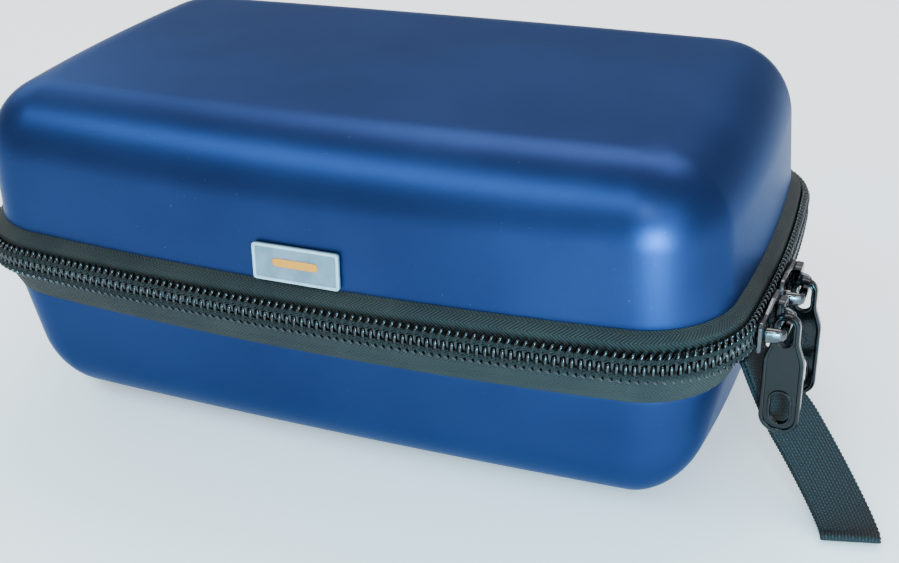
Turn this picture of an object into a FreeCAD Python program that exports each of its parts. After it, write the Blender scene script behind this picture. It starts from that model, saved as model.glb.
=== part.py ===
"""Hard-shell zip case for a handheld microchip scanner.

Millimetres, +Z up.  The origin is the middle of the flat underside, X runs along the long side,
-Y is the front and +X the side where the two zip sliders are parked.  The case is closed.

Every ring of the case (shell walls, zip tapes, coils, linings) is an offset of one outline: a
rounded rectangle whose four sides bow gently outwards.  A place on a ring is given by how far it
stands outwards from that outline (u, negative inwards) and by its height above the zip line (h).
"""
import FreeCAD
import Part
import math
import os

Vec = FreeCAD.Vector

# ---- outline of the zip line, seen from above ----
HALF_LENGTH = 133.5          # middle of the zip line to its right-hand side
HALF_WIDTH = 80.4            # middle of the zip line to its front
CORNER_RADIUS = 34.1
LONG_SIDE_RADIUS = 1040.0    # the front and the back bow outwards this gently
SHORT_SIDE_RADIUS = 521.0
LEAST_CORNER_RADIUS = 9.0    # corners of the flat top and bottom never get sharper

# ---- heights ----
BASE_HEIGHT = 62.5           # underside to the zip line
LID_HEIGHT = 54.2            # zip line to the flat top

# ---- shells ----
SHELL_WALL = 3.0
LID_RIM_INSET = 6.0          # the lid's skin stands this far inside the zip line
LID_RIM_HEIGHT = 9.3         # and starts this far above it
LID_DRAFT = 0.076
LID_FILLET = 24.2
LID_TOP_BOW = 0.35           # the top's long edges keep this share of the rim's bow
BASE_RIM_INSET = 7.3
BASE_RIM_DEPTH = 15.1
BASE_DRAFT = 0.207
BASE_FILLET = 32.0
BASE_BOTTOM_BOW = 0.3
LIP_END_HEIGHT = 7.1         # the moulded lips that carry the tapes stop this far from the zip line
LIP_END_INSET = 4.4
LIP_THICKNESS = 2.6

# ---- linings and insert ----
GLUE_GAP = 0.3
LINING_THICKNESS = 1.0
BINDING_WIDTH = 5.0
BINDING_THICKNESS = 0.9
FOAM_TOP_DEPTH = 21.0        # top of the foam insert below the zip line
FOAM_FIT = 0.5
POCKET_FLOOR = 15.0          # height of the pocket's floor above the underside
POCKET_HANDLE_LENGTH = 118.0
POCKET_HANDLE_WIDTH = 42.0
POCKET_HEAD_LENGTH = 76.0
POCKET_HEAD_WIDTH = 74.0
POCKET_CENTRE_X = -2.0

# ---- zip ----
TAPE_THICKNESS = 0.9
TAPE_FACE_INSET = 2.5        # outer face of the tape behind the coil
TAPE_EDGE = 1.3              # half the open slot between the two tapes and the two coils
COIL_FRONT = 0.5
COIL_HEIGHT = 5.2
ZIP_END_X = 66.5             # the tapes end here on the back, at the hinge
COIL_SETBACK = 5.1           # the coils end this much further from the middle of the back
HINGE_BAND_GAP = 0.5
HINGE_BAND_BULGE = 1.6       # how far inside the zip line the band's outer face stands
HINGE_BAND_EASE = 1.5
STOP_LENGTH = 3.2

# ---- sliders and pulls ----
FRONT_SLIDER_Y = -37.5
SLIDER_LENGTH = 22.0
SLIDER_SPACING = 0.9         # free length between the two parked sliders
SLIDER_HEIGHT = 13.0
SLIDER_WAIST = 9.6
PLATE_THICKNESS = 1.5
PLATE_CLEARANCE = 0.4        # outer plate to coil
INNER_PLATE_LENGTH = 16.0
INNER_PLATE_HEIGHT = 9.4
INNER_PLATE_GAP = 1.6        # inner plate to tape
POST_LENGTH = 5.0
POST_GAP = 0.3               # post to either coil
BRIDGE_LENGTH = 17.0
BRIDGE_RADIUS = 1.3
BRIDGE_FOOT = 3.0
BRIDGE_WIDTH = 4.4
PULL_RING_RADIUS = 4.0
PULL_CLEARANCE = 0.6         # the pull's ring to the slider's face
PULL_EYE_PLAY = 0.8          # round the bridge bar
PULL_EYE_DROP = 4.5
PULL_WIDTH = 12.0
PULL_LENGTH = 36.0           # bridge bar to the pull's lower end
PULL_THICKNESS = 1.6
PULL_RIM = 1.3
PULL_RIM_RISE = 0.45
PULL_SHOULDER = 7.4          # below the bar the pull widens, clear of the slider
PULL_SLOT_WIDTH = 5.6
PULL_SLOT_LENGTH = 10.5

# ---- hand strap: a doubled webbing loop, sewn in under the base tape ----
STRAP_WIDTH = 17.0
STRAP_THICKNESS = 2.8
STRAP_PIVOT_OUT = -5.6
STRAP_PIVOT_DEPTH = 16.9
STRAP_LEAN = 36.3            # degrees from hanging straight down
STRAP_AIM = -10.0            # degrees in plan by which it leaves the seam towards the front
STRAP_STRAIGHT = 25.9        # length of its straight run, between the two pulls
STRAP_RUN_TURN = 50.0        # degrees by which the webbing twists over that run
STRAP_CURVE = 1.45           # how steeply it sets out on the rest of its drop
STRAP_REACH_X = 37.05        # seam to folded end
STRAP_REACH_Y = -24.25
STRAP_END_HEIGHT = 2.4       # middle of the folded end above the underside
STRAP_END_TURN = 67.0        # degrees that the folded end has twisted from the seam's direction

# ---- tag sewn into the front seam ----
TAG_X = 1.6
TAG_LENGTH = 28.6
TAG_HEIGHT = 11.6
TAG_THICKNESS = 1.1
TAG_GAP = 0.4
TAG_CORNER = 1.0
MARK_LENGTH = 15.0
MARK_HEIGHT = 3.0
MARK_THICKNESS = 0.4

# ---- places that follow from these sizes ----
COIL_END_X = ZIP_END_X + COIL_SETBACK
REAR_SLIDER_Y = FRONT_SLIDER_Y + SLIDER_LENGTH + SLIDER_SPACING
STRAP_Y = (FRONT_SLIDER_Y + REAR_SLIDER_Y) / 2
SLIDER_FACE = COIL_FRONT + PLATE_CLEARANCE + PLATE_THICKNESS
PIVOT_OUT = SLIDER_FACE + PULL_CLEARANCE + PULL_RING_RADIUS
INNER_PLATE_OUT = -(TAPE_FACE_INSET + TAPE_THICKNESS + INNER_PLATE_GAP)
POST_HEIGHT = 2 * (TAPE_EDGE - POST_GAP)
PULL_EYE_RADIUS = BRIDGE_RADIUS + PULL_EYE_PLAY


def polar(centre_x, centre_y, radius, degrees):
    """A point in plan at this angle from a centre."""
    angle = math.radians(degrees)
    return centre_x + radius * math.cos(angle), centre_y + radius * math.sin(angle)


def ring_arcs(inset, bow=1.0):
    """The eight arcs of the outline moved inwards by inset, anticlockwise from the right side.

    Each is (centre x, centre y, radius, first angle, last angle).  The corner's centre lies where
    it is tangent to both neighbouring side arcs.
    """
    half_l = HALF_LENGTH - inset
    half_w = HALF_WIDTH - inset
    corner = max(CORNER_RADIUS - inset, LEAST_CORNER_RADIUS)
    long_r = LONG_SIDE_RADIUS / bow - inset
    short_r = SHORT_SIDE_RADIUS - inset
    long_c = long_r - half_w
    short_c = short_r - half_l
    # corner centre (cx, cy) at distance long_r - corner from (0, -long_c)
    # and at distance short_r - corner from (-short_c, 0)
    apart = math.hypot(long_c, short_c)
    near = short_r - corner
    far = long_r - corner
    along = (near ** 2 - far ** 2 + apart ** 2) / (2 * apart)
    aside = math.sqrt(near ** 2 - along ** 2)
    cx = -short_c + (along * short_c + aside * long_c) / apart
    cy = (-along * long_c + aside * short_c) / apart
    side = math.degrees(math.atan2(cy, cx + short_c))
    front = math.degrees(math.atan2(cx, cy + long_c))
    return [(-short_c, 0, short_r, -side, side),
            (cx, cy, corner, side, 90 - front),
            (0, -long_c, long_r, 90 - front, 90 + front),
            (-cx, cy, corner, 90 + front, 180 - side),
            (short_c, 0, short_r, 180 - side, 180 + side),
            (-cx, -cy, corner, 180 + side, 270 - front),
            (0, long_c, long_r, 270 - front, 270 + front),
            (cx, -cy, corner, 270 + front, 360 - side)]


def arc_edge(arc, z):
    cx, cy, radius, first, last = arc
    points = [Vec(*polar(cx, cy, radius, a), z) for a in (first, (first + last) / 2, last)]
    return Part.Arc(*points).toShape()


def ring(inset, height, bow=1.0):
    """Closed outline wire at this inset and this height above the zip line."""
    z = BASE_HEIGHT + height
    return Part.Wire([arc_edge(arc, z) for arc in ring_arcs(inset, bow)])


def zip_arcs(end_x):
    """The arcs of the zip line from the back right, over the front, to the back left."""
    right, corner_br, back, corner_bl, left, corner_fl, front, corner_fr = ring_arcs(0)
    turn = math.degrees(math.asin(end_x / back[2]))
    start = (*back[:3], 90 - turn, back[3])
    finish = (*back[:3], back[4], 90 + turn)
    backwards = [start, corner_br, right, corner_fr, front, corner_fl, left, corner_bl, finish]
    return [(cx, cy, r, last, first) if i not in (0, 8) else (cx, cy, r, first, last)
            for i, (cx, cy, r, first, last) in enumerate(backwards)]


def zip_path(end_x):
    """Open wire along the zip line, from the back right to the back left."""
    return Part.Wire([arc_edge(arc, BASE_HEIGHT) for arc in zip_arcs(end_x)])


def hinge_path(half_x):
    """Open wire along the middle of the back, from left to right."""
    back = ring_arcs(0)[2]
    turn = math.degrees(math.asin(half_x / back[2]))
    return Part.Wire([arc_edge((*back[:3], 90 + turn, 90 - turn), BASE_HEIGHT)])


def profile(section, start, out):
    """Closed wire of (u, h) points, standing on the zip line at start and facing out."""
    points = [start + out * u + Vec(0, 0, h) for u, h in section]
    return Part.makePolygon(points + points[:1])


def sweep(path, section):
    """Carry a (u, h) section along a wire of arcs that lies in the zip plane."""
    edge = path.OrderedEdges[0]
    start = path.OrderedVertexes[0].Point
    out = start - edge.Curve.Center
    out.normalize()
    return path.makePipeShell([profile(section, start, out)], True, True)


def dome_profile(rim_inset, rim_height, top, draft, fillet, deeper=0.0):
    """(inset, height, share of the way up) along a drafted wall and its rounded edge.

    deeper moves the whole profile inwards, for an inner face.
    """
    lean = math.atan(draft)
    rim_inset += deeper / math.cos(lean)
    top -= deeper
    fillet -= deeper
    centre_h = top - fillet
    start_h = centre_h + fillet * math.sin(lean)
    centre_t = rim_inset + draft * (start_h - rim_height) + fillet * math.cos(lean)
    places = [(rim_inset + draft * (h - rim_height), h)
              for h in (rim_height, (rim_height + start_h) / 2)]
    steps = 10
    for i in range(steps + 1):
        angle = lean + (math.pi / 2 - lean) * i / steps
        places.append((centre_t - fillet * math.cos(angle), centre_h + fillet * math.sin(angle)))
    return [(t, h, (h - rim_height) / (top - rim_height)) for t, h in places]


def dome(places, last_bow, sign):
    """Closed solid through a dome profile; sign is 1 upwards and -1 downwards."""
    wires = [ring(t, sign * h, 1 + (last_bow - 1) * share) for t, h, share in places]
    return Part.makeLoft(wires, True, True)


def lid_dome(deeper, rim_height=LID_RIM_HEIGHT):
    inset = LID_RIM_INSET + LID_DRAFT * (rim_height - LID_RIM_HEIGHT)
    places = dome_profile(inset, rim_height, LID_HEIGHT, LID_DRAFT, LID_FILLET, deeper)
    return dome(places, LID_TOP_BOW, 1)


def base_dome(deeper, rim_depth=BASE_RIM_DEPTH):
    inset = BASE_RIM_INSET + BASE_DRAFT * (rim_depth - BASE_RIM_DEPTH)
    places = dome_profile(inset, rim_depth, BASE_HEIGHT, BASE_DRAFT, BASE_FILLET, deeper)
    return dome(places, BASE_BOTTOM_BOW, -1)


def hollow(outer, inner):
    return outer.cut(inner)


def lip(rim_inset, rim_height, draft, sign):
    """The shell's moulded lip, turned outwards from the rim towards the zip."""
    root = 1.5
    inner = -(rim_inset + SHELL_WALL - 0.2 + draft * root)
    section = [(inner, rim_height + root), (-(rim_inset + 0.7), rim_height + root),
               (-(rim_inset + 0.6), rim_height), (-LIP_END_INSET, LIP_END_HEIGHT),
               (-LIP_END_INSET - LIP_THICKNESS, LIP_END_HEIGHT), (inner, rim_height - 0.6)]
    closed = ring(0, 0)
    return sweep(closed, [(u, sign * h) for u, h in section])


def lid_shell():
    walls = hollow(lid_dome(0), lid_dome(SHELL_WALL))
    return walls.fuse(lip(LID_RIM_INSET, LID_RIM_HEIGHT, LID_DRAFT, 1))


def base_shell():
    walls = hollow(base_dome(0), base_dome(SHELL_WALL))
    return walls.fuse(lip(BASE_RIM_INSET, BASE_RIM_DEPTH, BASE_DRAFT, -1))


def lid_lining():
    start = LID_RIM_HEIGHT + BINDING_WIDTH
    outside = SHELL_WALL + GLUE_GAP
    return hollow(lid_dome(outside, start), lid_dome(outside + LINING_THICKNESS, start))


def base_lining():
    start = BASE_RIM_DEPTH + BINDING_WIDTH
    outside = SHELL_WALL + GLUE_GAP
    return hollow(base_dome(outside, start), base_dome(outside + LINING_THICKNESS, start))


def binding(rim_inset, rim_height, draft, sign):
    """Bias tape over the raw edge inside the rim."""
    face = rim_inset + SHELL_WALL + GLUE_GAP + 0.2
    rise = BINDING_WIDTH - GLUE_GAP
    section = [(-face, rim_height), (-face - draft * rise, rim_height + rise),
               (-face - BINDING_THICKNESS - draft * rise, rim_height + rise),
               (-face - BINDING_THICKNESS, rim_height)]
    return sweep(ring(0, 0), [(u, sign * h) for u, h in section])


def tape_section(rim_inset, rim_height):
    """Tape from the shell's skin, down the lip and straight on behind the coil."""
    gap = 0.12
    inner = TAPE_FACE_INSET + TAPE_THICKNESS
    slope = (rim_inset + 0.6 - LIP_END_INSET) / (rim_height - LIP_END_HEIGHT)
    top_u = rim_inset + 0.6 - gap * math.hypot(1, slope)
    knee = rim_height - (top_u - inner) / slope
    wide = TAPE_THICKNESS * math.hypot(1, slope)
    outer_knee = rim_height - (top_u - wide - TAPE_FACE_INSET) / slope
    return [(-top_u, rim_height), (-inner, knee), (-inner, TAPE_EDGE),
            (-TAPE_FACE_INSET, TAPE_EDGE), (-TAPE_FACE_INSET, outer_knee),
            (-(top_u - wide), rim_height)]


def zipper_tape(rim_inset, rim_height, sign):
    section = tape_section(rim_inset, rim_height)
    return sweep(zip_path(ZIP_END_X), [(u, sign * h) for u, h in section])


def coil(sign):
    """Outer shape of one row of nylon coil, sewn on the face of its tape."""
    back = 0.1 - TAPE_FACE_INSET
    section = [(back, TAPE_EDGE), (COIL_FRONT - 0.4, TAPE_EDGE), (COIL_FRONT, TAPE_EDGE + 0.4),
               (COIL_FRONT, COIL_HEIGHT - 0.7), (COIL_FRONT - 0.7, COIL_HEIGHT),
               (back, COIL_HEIGHT)]
    return sweep(zip_path(COIL_END_X), [(u, sign * h) for u, h in section])


def hinge_band():
    """Fabric over the back that joins base and lid, as one strip."""
    lid = tape_section(LID_RIM_INSET, LID_RIM_HEIGHT)
    base = tape_section(BASE_RIM_INSET, BASE_RIM_DEPTH)
    outer_edge = -HINGE_BAND_BULGE
    inner_edge = outer_edge - TAPE_THICKNESS
    below = [(u, -h) for u, h in base]
    section = [lid[0], lid[1], (inner_edge, lid[1][1] - HINGE_BAND_EASE),
               (inner_edge, below[1][1] + HINGE_BAND_EASE), below[1], below[0],
               below[5], below[4], (outer_edge, below[4][1] + HINGE_BAND_EASE),
               (outer_edge, lid[4][1] - HINGE_BAND_EASE), lid[4], lid[5]]
    return sweep(hinge_path(ZIP_END_X - HINGE_BAND_GAP), section)


def place_on_back(shape, x):
    """Move a shape drawn at the zip line's right-hand side, facing +X, to the back arc at x."""
    back = ring_arcs(0)[2]
    turn = math.degrees(math.acos(x / back[2]))
    px, py = polar(back[0], back[1], back[2], turn)
    shape.rotate(Vec(0, 0, 0), Vec(0, 0, 1), turn)
    shape.translate(Vec(px, py, BASE_HEIGHT))
    return shape


def end_stop(side):
    """Metal clip that closes the end of the lower coil."""
    stop = Part.makeBox(COIL_FRONT + TAPE_FACE_INSET - 0.1, STOP_LENGTH, COIL_HEIGHT - TAPE_EDGE)
    stop.translate(Vec(0.1 - TAPE_FACE_INSET, -STOP_LENGTH / 2, -COIL_HEIGHT))
    outer = [e for e in stop.Edges if e.BoundBox.XMin > COIL_FRONT - 0.01]
    return place_on_back(stop.makeFillet(0.6, outer), side * (COIL_END_X - 0.3 - STOP_LENGTH / 2))


def on_right_side(shape, y):
    """Move a shape drawn at the origin, facing +X, to the zip line's right-hand side at this y."""
    arc = ring_arcs(0)[0]
    turn = math.degrees(math.asin(y / arc[2]))
    px, py = polar(arc[0], arc[1], arc[2], turn)
    shape.rotate(Vec(0, 0, 0), Vec(0, 0, 1), turn)
    shape.translate(Vec(px, py, BASE_HEIGHT))
    return shape


def slider_body(y, wide_end):
    """Outer and inner plates joined by the wedge post; wide_end is 1 if the wide end faces +Y."""
    start = COIL_FRONT + PLATE_CLEARANCE
    half_l = SLIDER_LENGTH / 2
    half_h = SLIDER_HEIGHT / 2
    waist = SLIDER_WAIST / 2
    corners = [(-half_l, -waist), (-half_l + 7, -waist), (half_l - 8, -half_h), (half_l - 2, -half_h),
               (half_l, -half_h + 2.5), (half_l, half_h - 2.5), (half_l - 2, half_h),
               (half_l - 8, half_h), (-half_l + 7, waist), (-half_l, waist)]
    points = [Vec(start, wide_end * along, up) for along, up in corners]
    plate = Part.Face(Part.makePolygon(points + points[:1])).extrude(Vec(PLATE_THICKNESS, 0, 0))
    rim = [e for e in plate.Edges if e.BoundBox.XMin > start + PLATE_THICKNESS - 0.01]
    plate = plate.makeFillet(0.6, rim)
    post_out = start + 0.3
    post = Part.makeBox(post_out - INNER_PLATE_OUT + 0.3, POST_LENGTH, POST_HEIGHT)
    post_y = wide_end * (half_l - 1 - POST_LENGTH / 2) - POST_LENGTH / 2
    post.translate(Vec(INNER_PLATE_OUT - 0.3, post_y, -POST_HEIGHT / 2))
    inner = Part.makeBox(PLATE_THICKNESS, INNER_PLATE_LENGTH, INNER_PLATE_HEIGHT)
    inner_y = wide_end * (half_l - 1 - INNER_PLATE_LENGTH / 2) - INNER_PLATE_LENGTH / 2
    inner.translate(Vec(INNER_PLATE_OUT - PLATE_THICKNESS, inner_y, -INNER_PLATE_HEIGHT / 2))
    return on_right_side(plate.fuse(post).fuse(inner), y)


def slider_bridge(y):
    """Bar that stands off the slider's face on two feet, and carries the pull."""
    top = PIVOT_OUT + BRIDGE_RADIUS
    half_l = BRIDGE_LENGTH / 2
    arch = Part.makeBox(top - SLIDER_FACE, BRIDGE_LENGTH, BRIDGE_WIDTH)
    arch.translate(Vec(SLIDER_FACE, -half_l, -BRIDGE_WIDTH / 2))
    ends = [e for e in arch.Edges
            if e.BoundBox.XMin > top - 0.01 and e.BoundBox.YLength < 0.01]
    arch = arch.makeFillet(2.2, ends)
    window = Part.makeBox(top - SLIDER_FACE, BRIDGE_LENGTH - 2 * BRIDGE_FOOT, BRIDGE_WIDTH + 2)
    window.translate(Vec(SLIDER_FACE, BRIDGE_FOOT - half_l, -BRIDGE_WIDTH / 2 - 1))
    bar = Part.makeCylinder(BRIDGE_RADIUS, BRIDGE_LENGTH - 2 * BRIDGE_FOOT + 1,
                            Vec(PIVOT_OUT, BRIDGE_FOOT - half_l - 0.5, 0), Vec(0, 1, 0))
    return on_right_side(arch.cut(window).fuse(bar), y)


def slot_prism(width, length, thickness):
    """Oblong standing in XZ, centred on the origin, through Y."""
    radius = width / 2
    straight = length - width
    slot = Part.makeBox(width, thickness, straight, Vec(-radius, -thickness / 2, -straight / 2))
    for end in (-straight / 2, straight / 2):
        slot = slot.fuse(Part.makeCylinder(radius, thickness, Vec(0, -thickness / 2, end), Vec(0, 1, 0)))
    return slot.removeSplitter()


def pull_outline(shrink):
    """Closed wire of the pull in XZ, hanging from a ring about the origin."""
    ring_r = PULL_RING_RADIUS - shrink
    half = PULL_WIDTH / 2 - shrink
    low = -PULL_LENGTH + shrink
    round_r = half - 0.6
    wide = -PULL_SHOULDER - 3.0
    diag = math.sqrt(0.5)
    right = [Part.LineSegment(Vec(ring_r, 0, 0), Vec(ring_r, 0, -PULL_SHOULDER)),
             Part.LineSegment(Vec(ring_r, 0, -PULL_SHOULDER), Vec(half, 0, wide)),
             Part.LineSegment(Vec(half, 0, wide), Vec(half, 0, low + round_r)),
             Part.Arc(Vec(half, 0, low + round_r),
                      Vec(half - round_r + round_r * diag, 0, low + round_r - round_r * diag),
                      Vec(half - round_r, 0, low))]
    left = [Part.LineSegment(Vec(round_r - half, 0, low), Vec(half - round_r, 0, low)),
            Part.Arc(Vec(-half, 0, low + round_r),
                     Vec(round_r - half - round_r * diag, 0, low + round_r - round_r * diag),
                     Vec(round_r - half, 0, low)),
            Part.LineSegment(Vec(-half, 0, wide), Vec(-half, 0, low + round_r)),
            Part.LineSegment(Vec(-ring_r, 0, -PULL_SHOULDER), Vec(-half, 0, wide)),
            Part.LineSegment(Vec(-ring_r, 0, 0), Vec(-ring_r, 0, -PULL_SHOULDER))]
    crown = Part.Arc(Vec(-ring_r, 0, 0), Vec(0, 0, ring_r), Vec(ring_r, 0, 0))
    edges = [piece.toShape() for piece in right + left + [crown]]
    return Part.Wire(Part.__sortEdges__(edges))


def pull_tab(y):
    """Flat pull with a raised rim, an eye for the bridge and an oblong hole near its end."""
    plate = Part.Face(pull_outline(0)).extrude(Vec(0, PULL_THICKNESS, 0))
    plate.translate(Vec(0, -PULL_THICKNESS / 2, 0))
    full = PULL_THICKNESS + 2 * PULL_RIM_RISE
    rim = Part.Face(pull_outline(0)).extrude(Vec(0, full, 0))
    rim = rim.cut(Part.Face(pull_outline(PULL_RIM)).extrude(Vec(0, full, 0)))
    rim.translate(Vec(0, -full / 2, 0))
    eye = slot_prism(2 * PULL_EYE_RADIUS, 2 * PULL_EYE_RADIUS + PULL_EYE_DROP, 2 * full)
    eye.translate(Vec(0, 0, -PULL_EYE_DROP / 2))
    hole = slot_prism(PULL_SLOT_WIDTH, PULL_SLOT_LENGTH, 2 * full)
    hole.translate(Vec(0, 0, -PULL_LENGTH + 3.2 + PULL_SLOT_LENGTH / 2))
    pull = plate.fuse(rim).cut(eye).cut(hole)
    pull.translate(Vec(PIVOT_OUT, 0, 0))
    return on_right_side(pull, y)


def strap_sections():
    """(centre, direction across the webbing, direction through it) along the strap."""
    arc = ring_arcs(0)[0]
    side_x = arc[0] + math.sqrt(arc[2] ** 2 - STRAP_Y ** 2)
    pivot = Vec(side_x + STRAP_PIVOT_OUT, STRAP_Y, BASE_HEIGHT - STRAP_PIVOT_DEPTH)
    lean = math.radians(STRAP_LEAN)
    aim = math.radians(STRAP_AIM)
    down = Vec(math.sin(lean) * math.cos(aim), math.sin(lean) * math.sin(aim), -math.cos(lean))
    knee = pivot + down * STRAP_STRAIGHT
    tip = Vec(pivot.x + STRAP_REACH_X, pivot.y + STRAP_REACH_Y, STRAP_END_HEIGHT)
    onward = down * (STRAP_CURVE * (knee.z - tip.z) / math.cos(lean))
    places = [(pivot + down * STRAP_STRAIGHT * share, STRAP_RUN_TURN * share)
              for share in (0.0, 0.25, 0.5, 0.75, 1.0)]
    steps = 5
    for i in range(1, steps + 1):
        share = i / steps
        smooth = share * share * (3 - 2 * share)
        first = knee + onward * share
        turn = STRAP_RUN_TURN + (STRAP_END_TURN - STRAP_RUN_TURN) * share
        places.append((first + (tip - first) * smooth, turn))
    sections = []
    for i, (centre, turn) in enumerate(places):
        before = places[max(i - 1, 0)][0]
        after = places[min(i + 1, len(places) - 1)][0]
        along = after - before
        along.normalize()
        angle = math.radians(turn)
        across = Vec(math.sin(angle), math.cos(angle), 0)
        across = across - along * across.dot(along)
        across.normalize()
        sections.append((centre, across, along.cross(across)))
    return sections


def hand_strap():
    wires = []
    for centre, across, through in strap_sections():
        half_w = across * (STRAP_WIDTH / 2)
        half_t = through * (STRAP_THICKNESS / 2)
        corners = [centre - half_w - half_t, centre + half_w - half_t,
                   centre + half_w + half_t, centre - half_w + half_t]
        wires.append(Part.makePolygon(corners + corners[:1]))
    return Part.makeLoft(wires, True, False)


def against_front(shape, gap):
    """Lean a shape drawn on the XZ plane, facing -Y, on the lid's front wall at TAG_X."""
    front = ring_arcs(LID_RIM_INSET)[6]
    turn = math.asin(TAG_X / front[2])
    wall_y = front[1] - front[2] * math.cos(turn)
    shape.rotate(Vec(0, 0, 0), Vec(1, 0, 0), -math.degrees(math.atan(LID_DRAFT)))
    shape.translate(Vec(TAG_X, wall_y - gap, BASE_HEIGHT + LID_RIM_HEIGHT + 0.3))
    return shape


def rounded_plate(length, height, thickness, corner):
    """Upright plate whose back is on XZ, standing on Z = 0 and facing -Y."""
    plate = Part.makeBox(length, thickness, height, Vec(-length / 2, -thickness, 0))
    uprights = [e for e in plate.Edges if e.BoundBox.YLength > thickness - 0.01]
    return plate.makeFillet(corner, uprights)


def side_tag():
    return against_front(rounded_plate(TAG_LENGTH, TAG_HEIGHT, TAG_THICKNESS, TAG_CORNER), TAG_GAP)


def tag_mark():
    mark = rounded_plate(MARK_LENGTH, MARK_HEIGHT, MARK_THICKNESS, MARK_HEIGHT / 2 - 0.1)
    mark.translate(Vec(0, -TAG_THICKNESS - 0.02, (TAG_HEIGHT - MARK_HEIGHT) / 2))
    return against_front(mark, TAG_GAP)


def rounded_block(x_first, x_last, width, z_first, z_last, corner):
    block = Part.makeBox(x_last - x_first, width, z_last - z_first, Vec(x_first, -width / 2, z_first))
    uprights = [e for e in block.Edges if e.BoundBox.ZLength > z_last - z_first - 0.01]
    return block.makeFillet(corner, uprights)


def foam_insert():
    """Foam that fills the base, with a pocket in the shape of the scanner: a handle and a head."""
    outside = SHELL_WALL + GLUE_GAP + LINING_THICKNESS + FOAM_FIT
    block = base_dome(outside, FOAM_TOP_DEPTH)
    top = BASE_HEIGHT - FOAM_TOP_DEPTH + 1
    whole = POCKET_HANDLE_LENGTH + POCKET_HEAD_LENGTH - 20
    left = POCKET_CENTRE_X - whole / 2
    right = POCKET_CENTRE_X + whole / 2
    handle = rounded_block(left, right - 12, POCKET_HANDLE_WIDTH, POCKET_FLOOR, top, 12)
    head = rounded_block(right - POCKET_HEAD_LENGTH, right, POCKET_HEAD_WIDTH, POCKET_FLOOR, top, 20)
    return block.cut(handle.fuse(head))


PIECES = {
    "base_shell": base_shell,
    "lid_shell": lid_shell,
    "base_lining": base_lining,
    "lid_lining": lid_lining,
    "base_rim_binding": lambda: binding(BASE_RIM_INSET, BASE_RIM_DEPTH, BASE_DRAFT, -1),
    "lid_rim_binding": lambda: binding(LID_RIM_INSET, LID_RIM_HEIGHT, LID_DRAFT, 1),
    "foam_insert": foam_insert,
    "base_zipper_tape": lambda: zipper_tape(BASE_RIM_INSET, BASE_RIM_DEPTH, -1),
    "lid_zipper_tape": lambda: zipper_tape(LID_RIM_INSET, LID_RIM_HEIGHT, 1),
    "base_coil": lambda: coil(-1),
    "lid_coil": lambda: coil(1),
    "hinge_band": hinge_band,
    "right_end_stop": lambda: end_stop(1),
    "left_end_stop": lambda: end_stop(-1),
    "front_slider_body": lambda: slider_body(FRONT_SLIDER_Y, 1),
    "front_slider_bridge": lambda: slider_bridge(FRONT_SLIDER_Y),
    "front_pull_tab": lambda: pull_tab(FRONT_SLIDER_Y),
    "rear_slider_body": lambda: slider_body(REAR_SLIDER_Y, -1),
    "rear_slider_bridge": lambda: slider_bridge(REAR_SLIDER_Y),
    "rear_pull_tab": lambda: pull_tab(REAR_SLIDER_Y),
    "hand_strap": hand_strap,
    "side_tag": side_tag,
    "tag_mark": tag_mark,
}

os.makedirs("parts", exist_ok=True)
for name, make in PIECES.items():
    solid = make()
    solid.exportStep(f"parts/{name}.step")
    box = solid.BoundBox
    print(f"{name:22s} valid {solid.isValid()} solids {len(solid.Solids)}"
          f"  volume {solid.Volume / 1000:8.2f} cm3"
          f"  x {box.XMin:7.1f} {box.XMax:7.1f}  y {box.YMin:7.1f} {box.YMax:7.1f}"
          f"  z {box.ZMin:6.1f} {box.ZMax:6.1f}")
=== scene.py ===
"""Hard-shell zip case for a handheld microchip scanner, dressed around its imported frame.

Lengths are in metres.  Every ring of the case is an offset of one outline: a rounded rectangle
whose sides bow gently outwards.  A place on a ring is given by u, how far it stands outwards from
the zip line, and h, its height above the zip line.
"""
from __future__ import annotations

import logging
import math
from dataclasses import dataclass
from enum import Enum
from typing import Iterable, Sequence

import bmesh
import bpy
import numpy as np
from mathutils import Matrix, Vector

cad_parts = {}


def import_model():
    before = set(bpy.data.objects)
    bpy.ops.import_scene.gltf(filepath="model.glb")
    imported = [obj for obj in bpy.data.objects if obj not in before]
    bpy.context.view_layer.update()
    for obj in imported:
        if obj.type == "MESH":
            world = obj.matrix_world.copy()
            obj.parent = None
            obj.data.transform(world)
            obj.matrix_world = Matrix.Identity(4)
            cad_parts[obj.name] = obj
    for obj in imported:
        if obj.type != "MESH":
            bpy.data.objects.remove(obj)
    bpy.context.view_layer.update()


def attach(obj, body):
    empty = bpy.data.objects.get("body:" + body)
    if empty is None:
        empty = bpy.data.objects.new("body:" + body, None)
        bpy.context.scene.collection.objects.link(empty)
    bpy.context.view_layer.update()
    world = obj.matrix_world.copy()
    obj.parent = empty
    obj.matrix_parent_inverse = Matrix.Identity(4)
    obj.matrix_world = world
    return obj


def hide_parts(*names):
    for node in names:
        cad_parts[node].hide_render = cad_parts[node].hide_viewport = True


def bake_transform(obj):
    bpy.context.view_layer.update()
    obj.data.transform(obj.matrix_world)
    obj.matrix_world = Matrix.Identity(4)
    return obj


Array = np.ndarray
Number = int | float
MM = 0.001
LOG = logging.getLogger("zip_case")


class Body(Enum):
    """The moving bodies of the case."""

    BASE = "base"
    LID = "lid"
    FRONT_SLIDER = "front_slider"
    FRONT_PULL = "front_pull"
    REAR_SLIDER = "rear_slider"
    REAR_PULL = "rear_pull"
    STRAP = "strap"


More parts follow.
